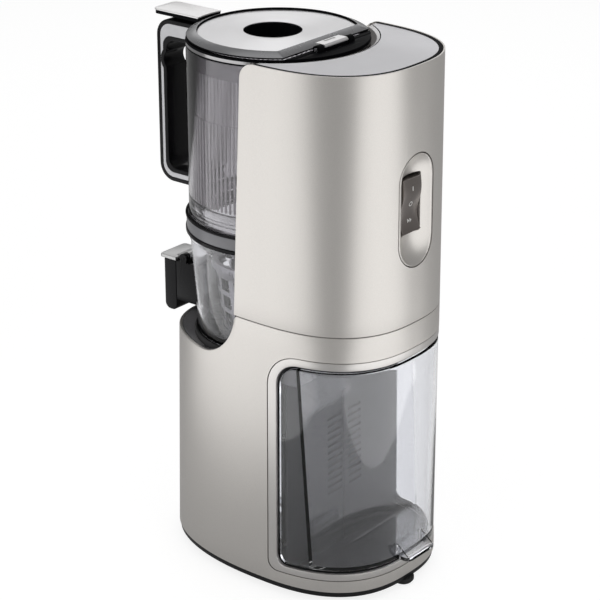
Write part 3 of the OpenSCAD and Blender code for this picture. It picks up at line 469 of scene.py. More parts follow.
def repeated(name: str, item: Object, group: Tree, settings: Mapping[str, Any]) -> Object:
    """Runs a geometry node group on an item and keeps the result as plain mesh.

    Args:
        name: Name of the new piece.
        item: The object that the group repeats, removed afterwards.
        group: The geometry node group.
        settings: Values of the group's inputs by their names.

    Returns:
        The new piece.
    """
    carrier = loose(name, bpy.data.meshes.new(name))
    maker = carrier.modifiers.new("repeat", "NODES")
    maker.node_group = group
    for socket in group.interface.items_tree:
        if socket.in_out == "INPUT" and socket.name in settings:
            maker[socket.identifier] = settings[socket.name]
        elif socket.in_out == "INPUT" and socket.name == "Item":
            maker[socket.identifier] = item
    carrier.update_tag()
    settle(carrier)
    bpy.data.objects.remove(item)
    return carrier


# ---- node trees ----


@dataclass
class Graph:
    """Short calls for making nodes in a tree."""

    tree: Tree

    def add(self, kind: str, inputs: Mapping[Any, Any] | None = None, **settings: Any) -> Node:
        """Adds a node.

        Args:
            kind: Type name of the node.
            inputs: Values or sockets for its inputs.
            **settings: Values of its properties.

        Returns:
            The node.
        """
        node = self.tree.nodes.new(kind)
        for key, value in settings.items():
            setattr(node, key, value)
        for key, value in (inputs or {}).items():
            if isinstance(value, Socket):
                self.tree.links.new(value, node.inputs[key])
            else:
                node.inputs[key].default_value = value
        return node

    def math(self, operation: str, *values: Any) -> Socket:
        """Result of a math node."""
        return self.add("ShaderNodeMath", dict(enumerate(values)), operation=operation).outputs[0]

    def vector(self, operation: str, inputs: Mapping[Any, Any]) -> Socket:
        """Result of a vector math node."""
        return self.add("ShaderNodeVectorMath", inputs, operation=operation).outputs[0]

    def remap(self, value: Any, low: float, high: float, to_low: float, to_high: float) -> Socket:
        """Result of a clamped map-range node."""
        inputs = {"Value": value, "From Min": low, "From Max": high, "To Min": to_low, "To Max": to_high}
        return self.add("ShaderNodeMapRange", inputs).outputs[0]

    def place(self) -> Socket:
        """The object coordinates."""
        return self.add("ShaderNodeTexCoord").outputs["Object"]

    def noise(self, place: Any, scale: Any, detail: float, distortion: float = 0.0) -> Socket:
        """Result of a noise texture."""
        inputs = {"Vector": place, "Scale": scale, "Detail": detail, "Distortion": distortion}
        return self.add("ShaderNodeTexNoise", inputs).outputs["Fac"]

    def group(self, tree: Tree, inputs: Mapping[Any, Any]) -> Mapping[str, Socket]:
        """Results of a shared effect group with its inputs set."""
        return self.add("ShaderNodeGroup", inputs, node_tree=tree).outputs

    def bump(self, height: Socket, depth: float) -> Socket:
        """A normal bumped by a height, its depth in millimetres."""
        return self.add("ShaderNodeBump", {"Height": height, "Distance": depth * MM, "Strength": 1.0}).outputs[0]

    def blend(self, share: Any, one: Any, other: Any) -> Socket:
        """One colour blended with another.

        Args:
            share: Share of the other colour.
            one: The first colour.
            other: The other one.

        Returns:
            The blended colour.
        """
        mix = self.add("ShaderNodeMix", data_type="RGBA")
        for index, value in ((0, share), (6, one), (7, other)):
            if isinstance(value, Socket):
                self.tree.links.new(value, mix.inputs[index])
            else:
                mix.inputs[index].default_value = value
        return mix.outputs[2]


def node_group(kind: str, name: str, inputs: Sequence[tuple[str, str, Any]],
               outputs: Sequence[tuple[str, str]]) -> tuple[Tree, Graph, Any, Any]:
    """Starts a node group with named sockets.

    Args:
        kind: Type name of the tree.
        name: Name of the group.
        inputs: Name, socket type and default value of each input.
        outputs: Name and socket type of each output.

    Returns:
        The tree, its graph, the sockets it is given and those it gives out.
    """
    tree = bpy.data.node_groups.new(name, kind)
    for label, socket, value in inputs:
        made = tree.interface.new_socket(label, in_out="INPUT", socket_type=socket)
        if value is not None:
            made.default_value = value
    for label, socket in outputs:
        tree.interface.new_socket(label, in_out="OUTPUT", socket_type=socket)
    graph = Graph(tree)
    return tree, graph, graph.add("NodeGroupInput").outputs, graph.add("NodeGroupOutput").inputs


FLOAT, COLOUR, VECTOR = "NodeSocketFloat", "NodeSocketColor", "NodeSocketVector"


@cache
def satin_grain() -> Tree:
    """Group: fine metallic flake in a colour, with uneven roughness and height.

    Returns:
        The group.
    """
    tree, g, given, made = node_group(
        "ShaderNodeTree", "satin_grain",
        [("Colour", COLOUR, (0.5, 0.5, 0.5, 1)), ("Roughness", FLOAT, 0.4), ("Flake", FLOAT, 0.05),
         ("Size", FLOAT, 0.5)],
        [("Colour", COLOUR), ("Roughness", FLOAT), ("Height", FLOAT)])
    place = g.place()
    density = g.math("DIVIDE", 1000.0, given["Size"])
    fine = g.noise(place, density, 2.0)
    broad = g.noise(place, 14.0, 3.0)
    lift = g.math("ADD", 1.0, g.math("MULTIPLY", g.math("SUBTRACT", fine, 0.5), given["Flake"]))
    drift = g.math("ADD", lift, g.math("MULTIPLY", g.math("SUBTRACT", broad, 0.5), 0.03))
    tinted = g.vector("SCALE", {0: given["Colour"], "Scale": drift})
    rough = g.math("ADD", given["Roughness"], g.math("MULTIPLY", g.math("SUBTRACT", broad, 0.5), 0.06))
    for label, socket in (("Colour", tinted), ("Roughness", rough), ("Height", fine)):
        tree.links.new(socket, made[label])
    return tree


@cache
def edge_wear() -> Tree:
    """Group: a lighter colour along edges that show wear, and painted shade that darkens hollows.

    Returns:
        The group.
    """
    tree, g, given, made = node_group(
        "ShaderNodeTree", "edge_wear",
        [("Colour", COLOUR, (0.5, 0.5, 0.5, 1)), ("Worn", COLOUR, (0.8, 0.8, 0.8, 1)), ("Amount", FLOAT, 0.3)],
        [("Colour", COLOUR)])
    edge = g.add("ShaderNodeNewGeometry").outputs["Pointiness"]
    place = g.place()
    patch = g.noise(place, 160.0, 4.0)
    mask = g.math("MULTIPLY", g.remap(edge, 0.52, 0.60, 0.0, 1.0), g.remap(patch, 0.3, 0.6, 0.4, 1.0))
    share = g.math("MULTIPLY", mask, given["Amount"])
    light = g.blend(share, given["Colour"], given["Worn"])
    # painted shade: the colour is darkened where pointiness is low, in hollows and creases, as if shade fell there
    hollow = g.remap(edge, 0.42, 0.48, 0.82, 1.0)
    dark = g.vector("SCALE", {0: light, "Scale": hollow})
    tree.links.new(dark, made["Colour"])
    return tree


@cache
def settled_dust() -> Tree:
    """Group: a thin pale dust on faces that look up.

    Returns:
        The group.
    """
    tree, g, given, made = node_group(
        "ShaderNodeTree", "settled_dust",
        [("Colour", COLOUR, (0.5, 0.5, 0.5, 1)), ("Roughness", FLOAT, 0.4), ("Amount", FLOAT, 0.1)],
        [("Colour", COLOUR), ("Roughness", FLOAT)])
    up = g.add("ShaderNodeSeparateXYZ", {0: g.add("ShaderNodeNewGeometry").outputs["Normal"]}).outputs[2]
    place = g.place()
    patch = g.noise(place, 45.0, 5.0)
    mask = g.math("MULTIPLY", g.remap(up, 0.3, 1.0, 0.0, 1.0), g.remap(patch, 0.35, 0.7, 0.0, 1.0))
    share = g.math("MULTIPLY", mask, given["Amount"])
    tree.links.new(g.blend(share, given["Colour"], (0.62, 0.60, 0.57, 1)), made["Colour"])
    tree.links.new(g.math("ADD", given["Roughness"], g.math("MULTIPLY", share, 0.5)),
                   made["Roughness"])
    return tree


@cache
def brushed() -> Tree:
    """Group: brush lines round an upright axis, or along one direction.

    Returns:
        The group.
    """
    tree, g, given, made = node_group(
        "ShaderNodeTree", "brushed",
        [("Roughness", FLOAT, 0.3), ("Axis", VECTOR, (0, 0, 0)), ("Spun", FLOAT, 1.0), ("Density", FLOAT, 900.0)],
        [("Roughness", FLOAT), ("Height", FLOAT)])
    place = g.place()
    shifted = g.vector("SUBTRACT", {0: place, 1: given["Axis"]})
    flat = g.vector("MULTIPLY", {0: shifted, 1: (1, 1, 0)})
    away = g.add("ShaderNodeVectorMath", {0: flat}, operation="LENGTH").outputs["Value"]
    parts = g.add("ShaderNodeSeparateXYZ", {0: shifted})
    across = g.add("ShaderNodeMix", {0: given["Spun"], 2: parts.outputs[2], 3: away}).outputs[0]
    slow_x, slow_y = (g.math("MULTIPLY", parts.outputs[i], 0.02) for i in (0, 1))
    lines = g.add("ShaderNodeCombineXYZ", {0: across, 1: slow_x, 2: slow_y}).outputs[0]
    noise = g.noise(lines, given["Density"], 3.0)
    rough = g.math("ADD", given["Roughness"], g.math("MULTIPLY", g.math("SUBTRACT", noise, 0.5), 0.16))
    tree.links.new(rough, made["Roughness"])
    tree.links.new(noise, made["Height"])
    return tree


@cache
def moulded() -> Tree:
    """Group: the faint texture of a moulded plastic face, with smudges.

    Returns:
        The group.
    """
    tree, g, given, made = node_group(
        "ShaderNodeTree", "moulded",
        [("Roughness", FLOAT, 0.4), ("Size", FLOAT, 0.6), ("Smudge", FLOAT, 0.1)],
        [("Roughness", FLOAT), ("Height", FLOAT)])
    place = g.place()
    density = g.math("DIVIDE", 1000.0, given["Size"])
    cells = g.add("ShaderNodeTexVoronoi", {"Vector": place, "Scale": density}).outputs["Distance"]
    fine = g.noise(place, density, 3.0)
    broad = g.noise(place, 22.0, 4.0, 0.6)
    height = g.math("ADD", g.math("MULTIPLY", cells, 0.5), g.math("MULTIPLY", fine, 0.5))
    smear = g.math("MULTIPLY", g.math("SUBTRACT", broad, 0.45), given["Smudge"])
    tree.links.new(g.math("ADD", given["Roughness"], smear), made["Roughness"])
    tree.links.new(height, made["Height"])
    return tree


# ---- finishes ----


@dataclass(frozen=True)
class Finish:
    """A finish that a piece can wear."""

    name: str
    tint: Colour

    def material(self) -> Material:
        """The material of the finish, made at its first use.

        Returns:
            The material.
        """
        found = bpy.data.materials.get(self.name)
        if found:
            return found
        material = bpy.data.materials.new(self.name)
        material.use_nodes = True
        material.node_tree.nodes.clear()
        material.diffuse_color = (*self.tint, 1)
        graph = Graph(material.node_tree)
        surface = self.surface(graph)
        graph.add("ShaderNodeOutputMaterial", {"Surface": surface})
        return material

    def surface(self, graph: Graph) -> Socket:
        """The shader of the finish."""
        raise NotImplementedError

    def rgba(self, scale: float = 1.0) -> tuple[float, float, float, float]:
        """The tint as four numbers."""
        return (*(min(1.0, c * scale) for c in self.tint), 1.0)


@dataclass(frozen=True)
class PaintedMetal(Finish):
    """Satin paint with metal flake."""

    roughness: float = 0.36
    metallic: float = 0.85
    flake: float = 0.22
    wear: float = 0.25
    coat: float = 0.15

    def surface(self, graph: Graph) -> Socket:
        """The shader of the finish.

        Args:
            graph: Graph of the finish's material.

        Returns:
            The shader.
        """
        grain = graph.group(satin_grain(), {
            "Colour": self.rgba(), "Roughness": self.roughness, "Flake": self.flake, "Size": 0.45})
        # edge wear, with painted shade in hollows
        worn_and_shaded = graph.group(edge_wear(), {
            "Colour": grain["Colour"], "Worn": self.rgba(1.25), "Amount": self.wear})
        dusty = graph.group(settled_dust(), {
            "Colour": worn_and_shaded["Colour"], "Roughness": grain["Roughness"], "Amount": 0.06})
        return graph.add("ShaderNodeBsdfPrincipled", {
            "Base Color": dusty["Colour"], "Roughness": dusty["Roughness"], "Metallic": self.metallic,
            "Coat Weight": self.coat, "Coat Roughness": 0.28,
            "Normal": graph.bump(grain["Height"], 0.004)}).outputs[0]


@dataclass(frozen=True)
class CutMetal(Finish):
    """Bare metal, brushed along or spun about an axis."""

    roughness: float = 0.3
    metallic: float = 1.0
    axis: Point = (0.0, 0.0, 0.0)
    spun: bool = True
    density: float = 900.0
    spin: float = 0.0

    def surface(self, graph: Graph) -> Socket:
        """The shader of the finish.

        Args:
            graph: Graph of the finish's material.

        Returns:
            The shader.
        """
        axis = tuple(c * MM for c in self.axis)
        lines = graph.group(brushed(), {
            "Roughness": self.roughness, "Spun": float(self.spun), "Axis": axis, "Density": self.density})
        # edge wear, with painted shade in hollows
        worn_and_shaded = graph.group(edge_wear(), {"Colour": self.rgba(), "Worn": self.rgba(1.2), "Amount": 0.4})
        dusty = graph.group(settled_dust(), {
            "Colour": worn_and_shaded["Colour"], "Roughness": lines["Roughness"], "Amount": 0.05})
        away = graph.vector("SUBTRACT", {0: graph.place(), 1: axis})
        turned = graph.vector("CROSS_PRODUCT", {0: away, 1: (0, 0, 1)})
        return graph.add("ShaderNodeBsdfPrincipled", {
            "Base Color": dusty["Colour"], "Roughness": dusty["Roughness"], "Metallic": self.metallic,
            "Anisotropic": self.spin if self.spun else 0.0, "Tangent": turned,
            "Normal": graph.bump(lines["Height"], 0.003)}).outputs[0]


@dataclass(frozen=True)
class MouldedPlastic(Finish):
    """Opaque moulded plastic or rubber."""

    roughness: float = 0.35
    texture: float = 0.006
    size: float = 0.6
    smudge: float = 0.1
    wear: float = 0.2
    dust: float = 0.06
    coat: float = 0.0
    specular: float = 0.5

    def surface(self, graph: Graph) -> Socket:
        """The shader of the finish.

        Args:
            graph: Graph of the finish's material.

        Returns:
            The shader.
        """
        face = graph.group(moulded(), {"Roughness": self.roughness, "Size": self.size, "Smudge": self.smudge})
        # edge wear, with painted shade in hollows
        worn_and_shaded = graph.group(edge_wear(), {"Colour": self.rgba(), "Worn": self.rgba(1.6), "Amount": self.wear})
        dusty = graph.group(settled_dust(), {
            "Colour": worn_and_shaded["Colour"], "Roughness": face["Roughness"], "Amount": self.dust})
        return graph.add("ShaderNodeBsdfPrincipled", {
            "Base Color": dusty["Colour"], "Roughness": dusty["Roughness"], "Coat Weight": self.coat,
            "Coat Roughness": 0.08, "Specular IOR Level": self.specular,
            "Normal": graph.bump(face["Height"], self.texture)}).outputs[0]


@dataclass(frozen=True)
class ClearPlastic(Finish):
    """Clear or smoked moulded plastic, which lets light through to what is behind it."""

    roughness: float = 0.03
    shade: Colour = (0.8, 0.8, 0.8)
    clear: float = 1.0

    def surface(self, graph: Graph) -> Socket:
        """The shader of the finish.

        Args:
            graph: Graph of the finish's material.

        Returns:
            The shader.
        """
        face = graph.group(moulded(), {"Roughness": self.roughness, "Size": 1.5, "Smudge": 0.08})
        dusty = graph.group(settled_dust(), {
            "Colour": self.rgba(), "Roughness": face["Roughness"], "Amount": 0.03})
        glass = graph.add("ShaderNodeBsdfPrincipled", {
            "Base Color": dusty["Colour"], "Roughness": dusty["Roughness"],
            "Transmission Weight": self.clear, "IOR": 1.46,
            "Normal": graph.bump(face["Height"], 0.002)}).outputs[0]
        through = graph.add("ShaderNodeBsdfTransparent", {"Color": (*self.shade, 1)}).outputs[0]
        shadow = graph.add("ShaderNodeLightPath").outputs["Is Shadow Ray"]
        return graph.add("ShaderNodeMixShader", {0: shadow, 1: glass, 2: through}).outputs[0]


@dataclass(frozen=True)
class PaleGround(Finish):
    """Floor that looks white to the camera, keeps the object's shadow and is dim in its metal."""

    glow: float = 0.6
    level: float = 1.37
    mirrored: float = 0.36

    def surface(self, graph: Graph) -> Socket:
        """The shader of the finish.

        Args:
            graph: Graph of the finish's material.

        Returns:
            The shader.
        """
        face = graph.group(moulded(), {"Roughness": 0.7, "Size": 3.0, "Smudge": 0.1})
        plain = graph.add("ShaderNodeBsdfPrincipled", {
            "Base Color": self.rgba(), "Roughness": face["Roughness"]}).outputs[0]
        glow = graph.add("ShaderNodeEmission", {"Color": (1, 1, 1, 1), "Strength": self.level}).outputs[0]
        path = graph.add("ShaderNodeLightPath")
        seen = graph.math("MAXIMUM", path.outputs["Is Camera Ray"], path.outputs["Is Transmission Ray"])
        share = graph.math("MULTIPLY", seen, self.glow)
        lit = graph.add("ShaderNodeMixShader", {0: share, 1: plain, 2: glow}).outputs[0]
        dim = graph.add("ShaderNodeEmission", {"Color": (1, 1, 1, 1), "Strength": self.mirrored}).outputs[0]
        # rough glass marks its rays as both, and shows the bright floor
        bare = graph.math("SUBTRACT", path.outputs["Is Glossy Ray"], path.outputs["Is Transmission Ray"])
        mirrored = graph.math("GREATER_THAN", bare, 0.5)
        return graph.add("ShaderNodeMixShader", {0: mirrored, 1: lit, 2: dim}).outputs[0]


AXIS: Pair = (0.0, sum(span("rim_band", 1)) / 2)
HOPPER_AXIS: Point = (*AXIS, 0.0)

SHELL = PaintedMetal("shell_satin_silver", (0.66, 0.635, 0.605), roughness=0.40, metallic=0.82)
FRAME = PaintedMetal("frame_satin_silver", (0.67, 0.65, 0.63), roughness=0.34, metallic=0.85)
COVER = PaintedMetal("cover_satin_grey", (0.84, 0.835, 0.86), roughness=0.5, metallic=0.55, flake=0.12)
LEVER = PaintedMetal("lever_satin_silver", (0.50, 0.50, 0.50), roughness=0.36, metallic=0.8)
DIE_CAST = PaintedMetal("die_cast_grey", (0.42, 0.42, 0.43), roughness=0.55, metallic=0.7, flake=0.3, coat=0.0)
LID_DISC = CutMetal("lid_spun_silver", (0.80, 0.795, 0.805), roughness=0.36, metallic=0.9, axis=HOPPER_AXIS,
                    density=1500.0, spin=0.75)
LID_PLATE = PaintedMetal("lid_satin_silver", (0.86, 0.85, 0.85), roughness=0.38, metallic=0.75)
BRIGHT = CutMetal("bright_band", (0.36, 0.355, 0.36), roughness=0.2, axis=HOPPER_AXIS, density=700.0)
STEEL = CutMetal("machined_steel", (0.60, 0.60, 0.61), roughness=0.26, axis=HOPPER_AXIS)
BRASS = CutMetal("cut_brass", (0.62, 0.46, 0.20), roughness=0.3, axis=HOPPER_AXIS)
SIEVE = CutMetal("sieve_steel", (0.24, 0.235, 0.25), roughness=0.48, spun=False, density=700.0)
ROCKER = PaintedMetal("rocker_dark_gloss", (0.14, 0.12, 0.11), roughness=0.2, metallic=0.55, coat=0.6)
RING_GREY = PaintedMetal("lid_ring_grey", (0.30, 0.30, 0.31), roughness=0.26, metallic=0.7, flake=0.1)
COLLAR = MouldedPlastic("collar_grey", (0.022, 0.022, 0.024), roughness=0.32, specular=0.3)
DARK = MouldedPlastic("dark_satin_plastic", (0.024, 0.024, 0.026), roughness=0.4, specular=0.3)
LEDGE = MouldedPlastic("ledge_satin_grey", (0.16, 0.158, 0.165), roughness=0.36)
BLACK = MouldedPlastic("black_gloss_plastic", (0.005, 0.005, 0.006), roughness=0.14, texture=0.001, dust=0.02,
                       specular=0.12)
# painted shade: a black that reflects almost nothing, so the black parts it dresses read as deep shade; on the seam
# strip, the panel's groove and the lid ring's inner wall it stands only for shade
BLACK_WITH_PAINTED_SHADE = MouldedPlastic("black_shade_plastic", (0.005, 0.005, 0.006), roughness=0.5, wear=0.0, dust=0.0,
                            specular=0.02)
BLACK_SATIN = MouldedPlastic("black_satin_plastic", (0.010, 0.010, 0.011), roughness=0.42, dust=0.02, specular=0.25)
RUBBER = MouldedPlastic("black_rubber", (0.014, 0.014, 0.014), roughness=0.7, texture=0.02, size=0.4, smudge=0.2,
                        dust=0.03, specular=0.25)
GREY_RUBBER = MouldedPlastic("grey_silicone", (0.25, 0.25, 0.25), roughness=0.6, texture=0.012)
WHITE_PLASTIC = MouldedPlastic("white_moulding", (0.72, 0.72, 0.70), roughness=0.45)
MARK = MouldedPlastic("pale_print", (0.62, 0.62, 0.60), roughness=0.5, wear=0.0)
INLAY = MouldedPlastic("handle_inlay_pale", (0.62, 0.62, 0.645), roughness=0.24, texture=0.002, coat=0.5)
AUGER = MouldedPlastic("auger_grey", (0.17, 0.17, 0.18), roughness=0.38)
BOARD = MouldedPlastic("board_green", (0.03, 0.13, 0.06), roughness=0.4, size=2.0)
CLEAR = ClearPlastic("clear_plastic", (0.80, 0.80, 0.82), shade=(0.93, 0.93, 0.94))
BIN_CLEAR = ClearPlastic("bin_grey_clear", (0.90, 0.905, 0.925), shade=(0.92, 0.925, 0.94))
SMOKE = ClearPlastic("hopper_smoke", (0.52, 0.51, 0.53), roughness=0.04, shade=(0.88, 0.87, 0.88))
RIBS = ClearPlastic("hopper_rib_smoke", (0.74, 0.72, 0.74), roughness=0.10, shade=(0.9, 0.9, 0.9), clear=0.55)
SMOKE_DARK = ClearPlastic("sleeve_smoke", (0.58, 0.57, 0.59), roughness=0.12, shade=(0.5, 0.5, 0.52))
SMOKE_LIGHT = ClearPlastic("sleeve_clear", (0.93, 0.925, 0.935), roughness=0.04, shade=(0.95, 0.95, 0.95))
GROUND = PaleGround("pale_ground", (0.9, 0.9, 0.9))

SLOT_FINISH: dict[str, Finish] = {
    "shell": SHELL, "cover": COVER, "dark_plastic": DARK, "black_rubber": RUBBER, "black_plastic": BLACK,
    "steel": STEEL, "frame_silver": FRAME, "board": BOARD, "die_cast": DIE_CAST, "rocker": ROCKER,
    "white_plastic": WHITE_PLASTIC, "gear_brass": BRASS, "auger": AUGER, "strainer": SIEVE, "clear": CLEAR,
    "lever_silver": LEVER, "grey_rubber": GREY_RUBBER, "smoke": SMOKE, "smoke_dark": SMOKE_DARK,
    "rim_silver": BRIGHT, "collar_grey": COLLAR, "inlay": INLAY, "lid_silver": LID_PLATE,
    "ring_grey": RING_GREY, "clear_smoke": BIN_CLEAR}


# ---- the body's plan ----


@dataclass(frozen=True)
class BodyPlan:
    """Plan of the body: two squared ovals that meet where it is widest."""

    half_w: float
    rear_reach: float
    front_reach: float
    foot_scale: float
    seam_z: float
    foot_z: float
    wide_y: float = 16.0
    rear_power: float = 2.6
    front_power: float = 2.25
    flare_y: float = 163.0
    fine_steps: int = 400

    @classmethod
    def from_frame(cls) -> "BodyPlan":
        """The plan with its sizes taken from the shells."""
        foot_scale = span("base_shell", 0)[1] / span("upper_shell", 0)[1]
        front = (span("base_shell", 1)[0] - cls.flare_y) / foot_scale + cls.flare_y
        return cls(half_w=span("upper_shell", 0)[1], rear_reach=span("upper_shell", 1)[1], front_reach=-front,
                   foot_scale=foot_scale, seam_z=span("upper_shell", 2)[0], foot_z=span("base_shell", 2)[0])

    def scale_at(self, z: float) -> float:
        """How much wider the base is at a height than at the seam."""
        return 1 + (self.foot_scale - 1) * (self.seam_z - z) / (self.seam_z - self.foot_z)

    def at(self, angle: float, inset: float, z: float, scale: float = 1.0) -> Point:
        """A point of the outline.

        Args:
            angle: Direction in degrees, 0 at +X and 90 at the rear.
            inset: How far the outline is moved in.
            z: Height of the point.
            scale: Widening of the plan at that height.

        Returns:
            The point.
        """
        c, s = math.cos(math.radians(angle)), math.sin(math.radians(angle))
        power = self.rear_power if s >= 0 else self.front_power
        reach = self.rear_reach - self.wide_y if s >= 0 else self.front_reach + self.wide_y
        x = (self.half_w - inset) * math.copysign(abs(c) ** (2 / power), c)
        y = self.wide_y + (reach - inset) * math.copysign(abs(s) ** (2 / power), s)
        return x * scale, self.flare_y + (y - self.flare_y) * scale, z

    def angle_at(self, y: float, inset: float = 0.0, scale: float = 1.0) -> float:
        """Angle at which the +X side reaches y, in degrees.

        Args:
            y: The reach.
            inset: How far the outline is moved in.
            scale: Widening of the plan.

        Returns:
            The angle.
        """
        plain = self.flare_y + (y - self.flare_y) / scale - self.wide_y
        power = self.rear_power if plain >= 0 else self.front_power
        reach = self.rear_reach - self.wide_y if plain >= 0 else self.front_reach + self.wide_y
        share = min(1.0, abs(plain) / (reach - inset))
        return math.degrees(math.copysign(math.asin(share ** (power / 2)), plain))

    def walk(self, start: float, end: float, count: int, inset: float, z: float, scale: float = 1.0) -> Loop:
        """Evenly spaced points along the outline.

        Args:
            start: First angle, in degrees.
            end: Last angle, in degrees.
            count: Number of points, both ends included.
            inset: How far the outline is moved in.
            z: Height of the points.
            scale: Widening of the plan at that height.

        Returns:
            The points.
        """
        steps = self.fine_steps
        fine = [start + (end - start) * i / steps for i in range(steps + 1)]
        marks = [self.at(angle, inset, z) for angle in fine]
        way = [0.0]
        for last, point in zip(marks, marks[1:]):
            way.append(way[-1] + math.dist(last, point))
        points, k = [], 0
        for i in range(count):
            goal = way[-1] * i / (count - 1)
            while k < steps - 1 and way[k + 1] < goal:
                k += 1
            step = way[k + 1] - way[k]
            share = (goal - way[k]) / step if step else 0.0
            points.append(self.at(fine[k] + (fine[k + 1] - fine[k]) * min(1.0, share), inset, z, scale))
        return points

    def rear_walk(self, y: float, count: int, inset: float, z: float, scale: float = 1.0) -> Loop:
        """Evenly spaced points round the rear, from y on the +X side to y on the other."""
        start = self.angle_at(y, inset, scale)
        return self.walk(start, 180 - start, count, inset, z, scale)


@dataclass(frozen=True)
class FrontCut:
    """Side view of what is open at the front: ledge, sweep, leaning edge and top corner."""

    ledge_z: float
    seam_z: float
    top_z: float
    edge_y: float
    lean: float = math.tan(math.radians(2.7))
    sweep_r: float = 40.0
    corner_r: float = 12.0

    @classmethod
    def from_frame(cls) -> "FrontCut":
        """The cut with its heights taken from the shells."""
        return cls(ledge_z=span("seat_ring", 2)[0], seam_z=span("upper_shell", 2)[0],
                   top_z=span("upper_shell", 2)[1], edge_y=span("upper_shell", 1)[0])

    def edge_at(self, z: float) -> float:
        """Where the leaning edge lies at a height."""
        return self.edge_y + (z - self.seam_z) * self.lean

    def front_at(self, z: float) -> float:
        """Where the upper shell's free edge lies, with its rounded top corner.

        Args:
            z: The height.

        Returns:
            The edge's y.
        """
        start = self.top_z - self.corner_r
        if z <= start:
            return self.edge_at(z)
        middle = self.edge_at(start) + self.corner_r * math.hypot(1, self.lean)
        return middle - math.sqrt(max(0.0, self.corner_r ** 2 - (z - start) ** 2))

    @property
    def sweep_y(self) -> float:
        """Where the sweep leaves the ledge."""
        return self.edge_at(self.ledge_z + self.sweep_r) - self.sweep_r * math.hypot(1, self.lean)

    def top_at(self, y: float, roof: float) -> float:
        """Height of the base's rim at y, never above roof.

        Args:
            y: The place.
            roof: Highest rim.

        Returns:
            The height.
        """
        run = y - self.sweep_y
        if run <= 0:
            return self.ledge_z
        if run >= self.sweep_r:
            return roof
        return min(roof, self.ledge_z + self.sweep_r - math.sqrt(self.sweep_r ** 2 - run ** 2))


PLAN = BodyPlan.from_frame()
CUT = FrontCut.from_frame()


@dataclass(frozen=True)
class BinOpening:
    """The opening for the bin, drawn from the side and laid round the rear of the base."""

    front_y: float = 32.0
    foot_z: float = 24.0
    head_z: float = 186.0
    head_r: float = 18.0
    foot_r: float = 8.0
    foot_share: float = 0.7
    head_share: float = 0.8

    def edges(self, grow: float) -> tuple[float, float, float, float]:
        """Front, foot, head and head corner of the opening, its edges moved out by grow."""
        return (self.front_y - grow, self.foot_z - grow * self.foot_share,
                self.head_z + grow * self.head_share, self.head_r + grow)

    def side(self, grow: float, far: float = 200.0) -> list[Pair]:
        """Side view of the opening, its edges moved out by grow."""
        y, low, high, r = self.edges(grow)
        return [(far, low), *arc((y + self.foot_r, low + self.foot_r), self.foot_r, 270, 180),
                *arc((y + r, high - r), r, 180, 90, 12), (far, high)]

    def round_rear(self, grow: float, inset: float) -> Loop:
        """The opening's rim on the base's face, as one closed loop round the rear.

        Args:
            grow: How far the rim is moved out from the opening's edge.
            inset: How deep it lies under the base's face.

        Returns:
            The loop's points.
        """
        y, low, high, r = self.edges(grow)
        scale = PLAN.scale_at(high)
        half = PLAN.walk(90, PLAN.angle_at(y + r, inset, scale), 44, inset, high, scale)
        corner = arc((y + r, high - r), r, 90, 180, 12)[1:]
        foot = arc((y + self.foot_r, low + self.foot_r), self.foot_r, 180, 270, 8)
        straight = [(y, corner[-1][1] + (foot[0][1] - corner[-1][1]) * i / 24) for i in range(1, 24)]
        for py, pz in [*corner, *straight, *foot[:-1]]:
            half.append(PLAN.at(PLAN.angle_at(py, inset, PLAN.scale_at(pz)), inset, pz, PLAN.scale_at(pz)))
        scale = PLAN.scale_at(low)
        half += PLAN.walk(PLAN.angle_at(foot[-1][0], inset, scale), 90, 44, inset, low, scale)
        return half + [(-x, py, pz) for x, py, pz in reversed(half[1:-1])]


OPENING = BinOpening()


# ---- column ----


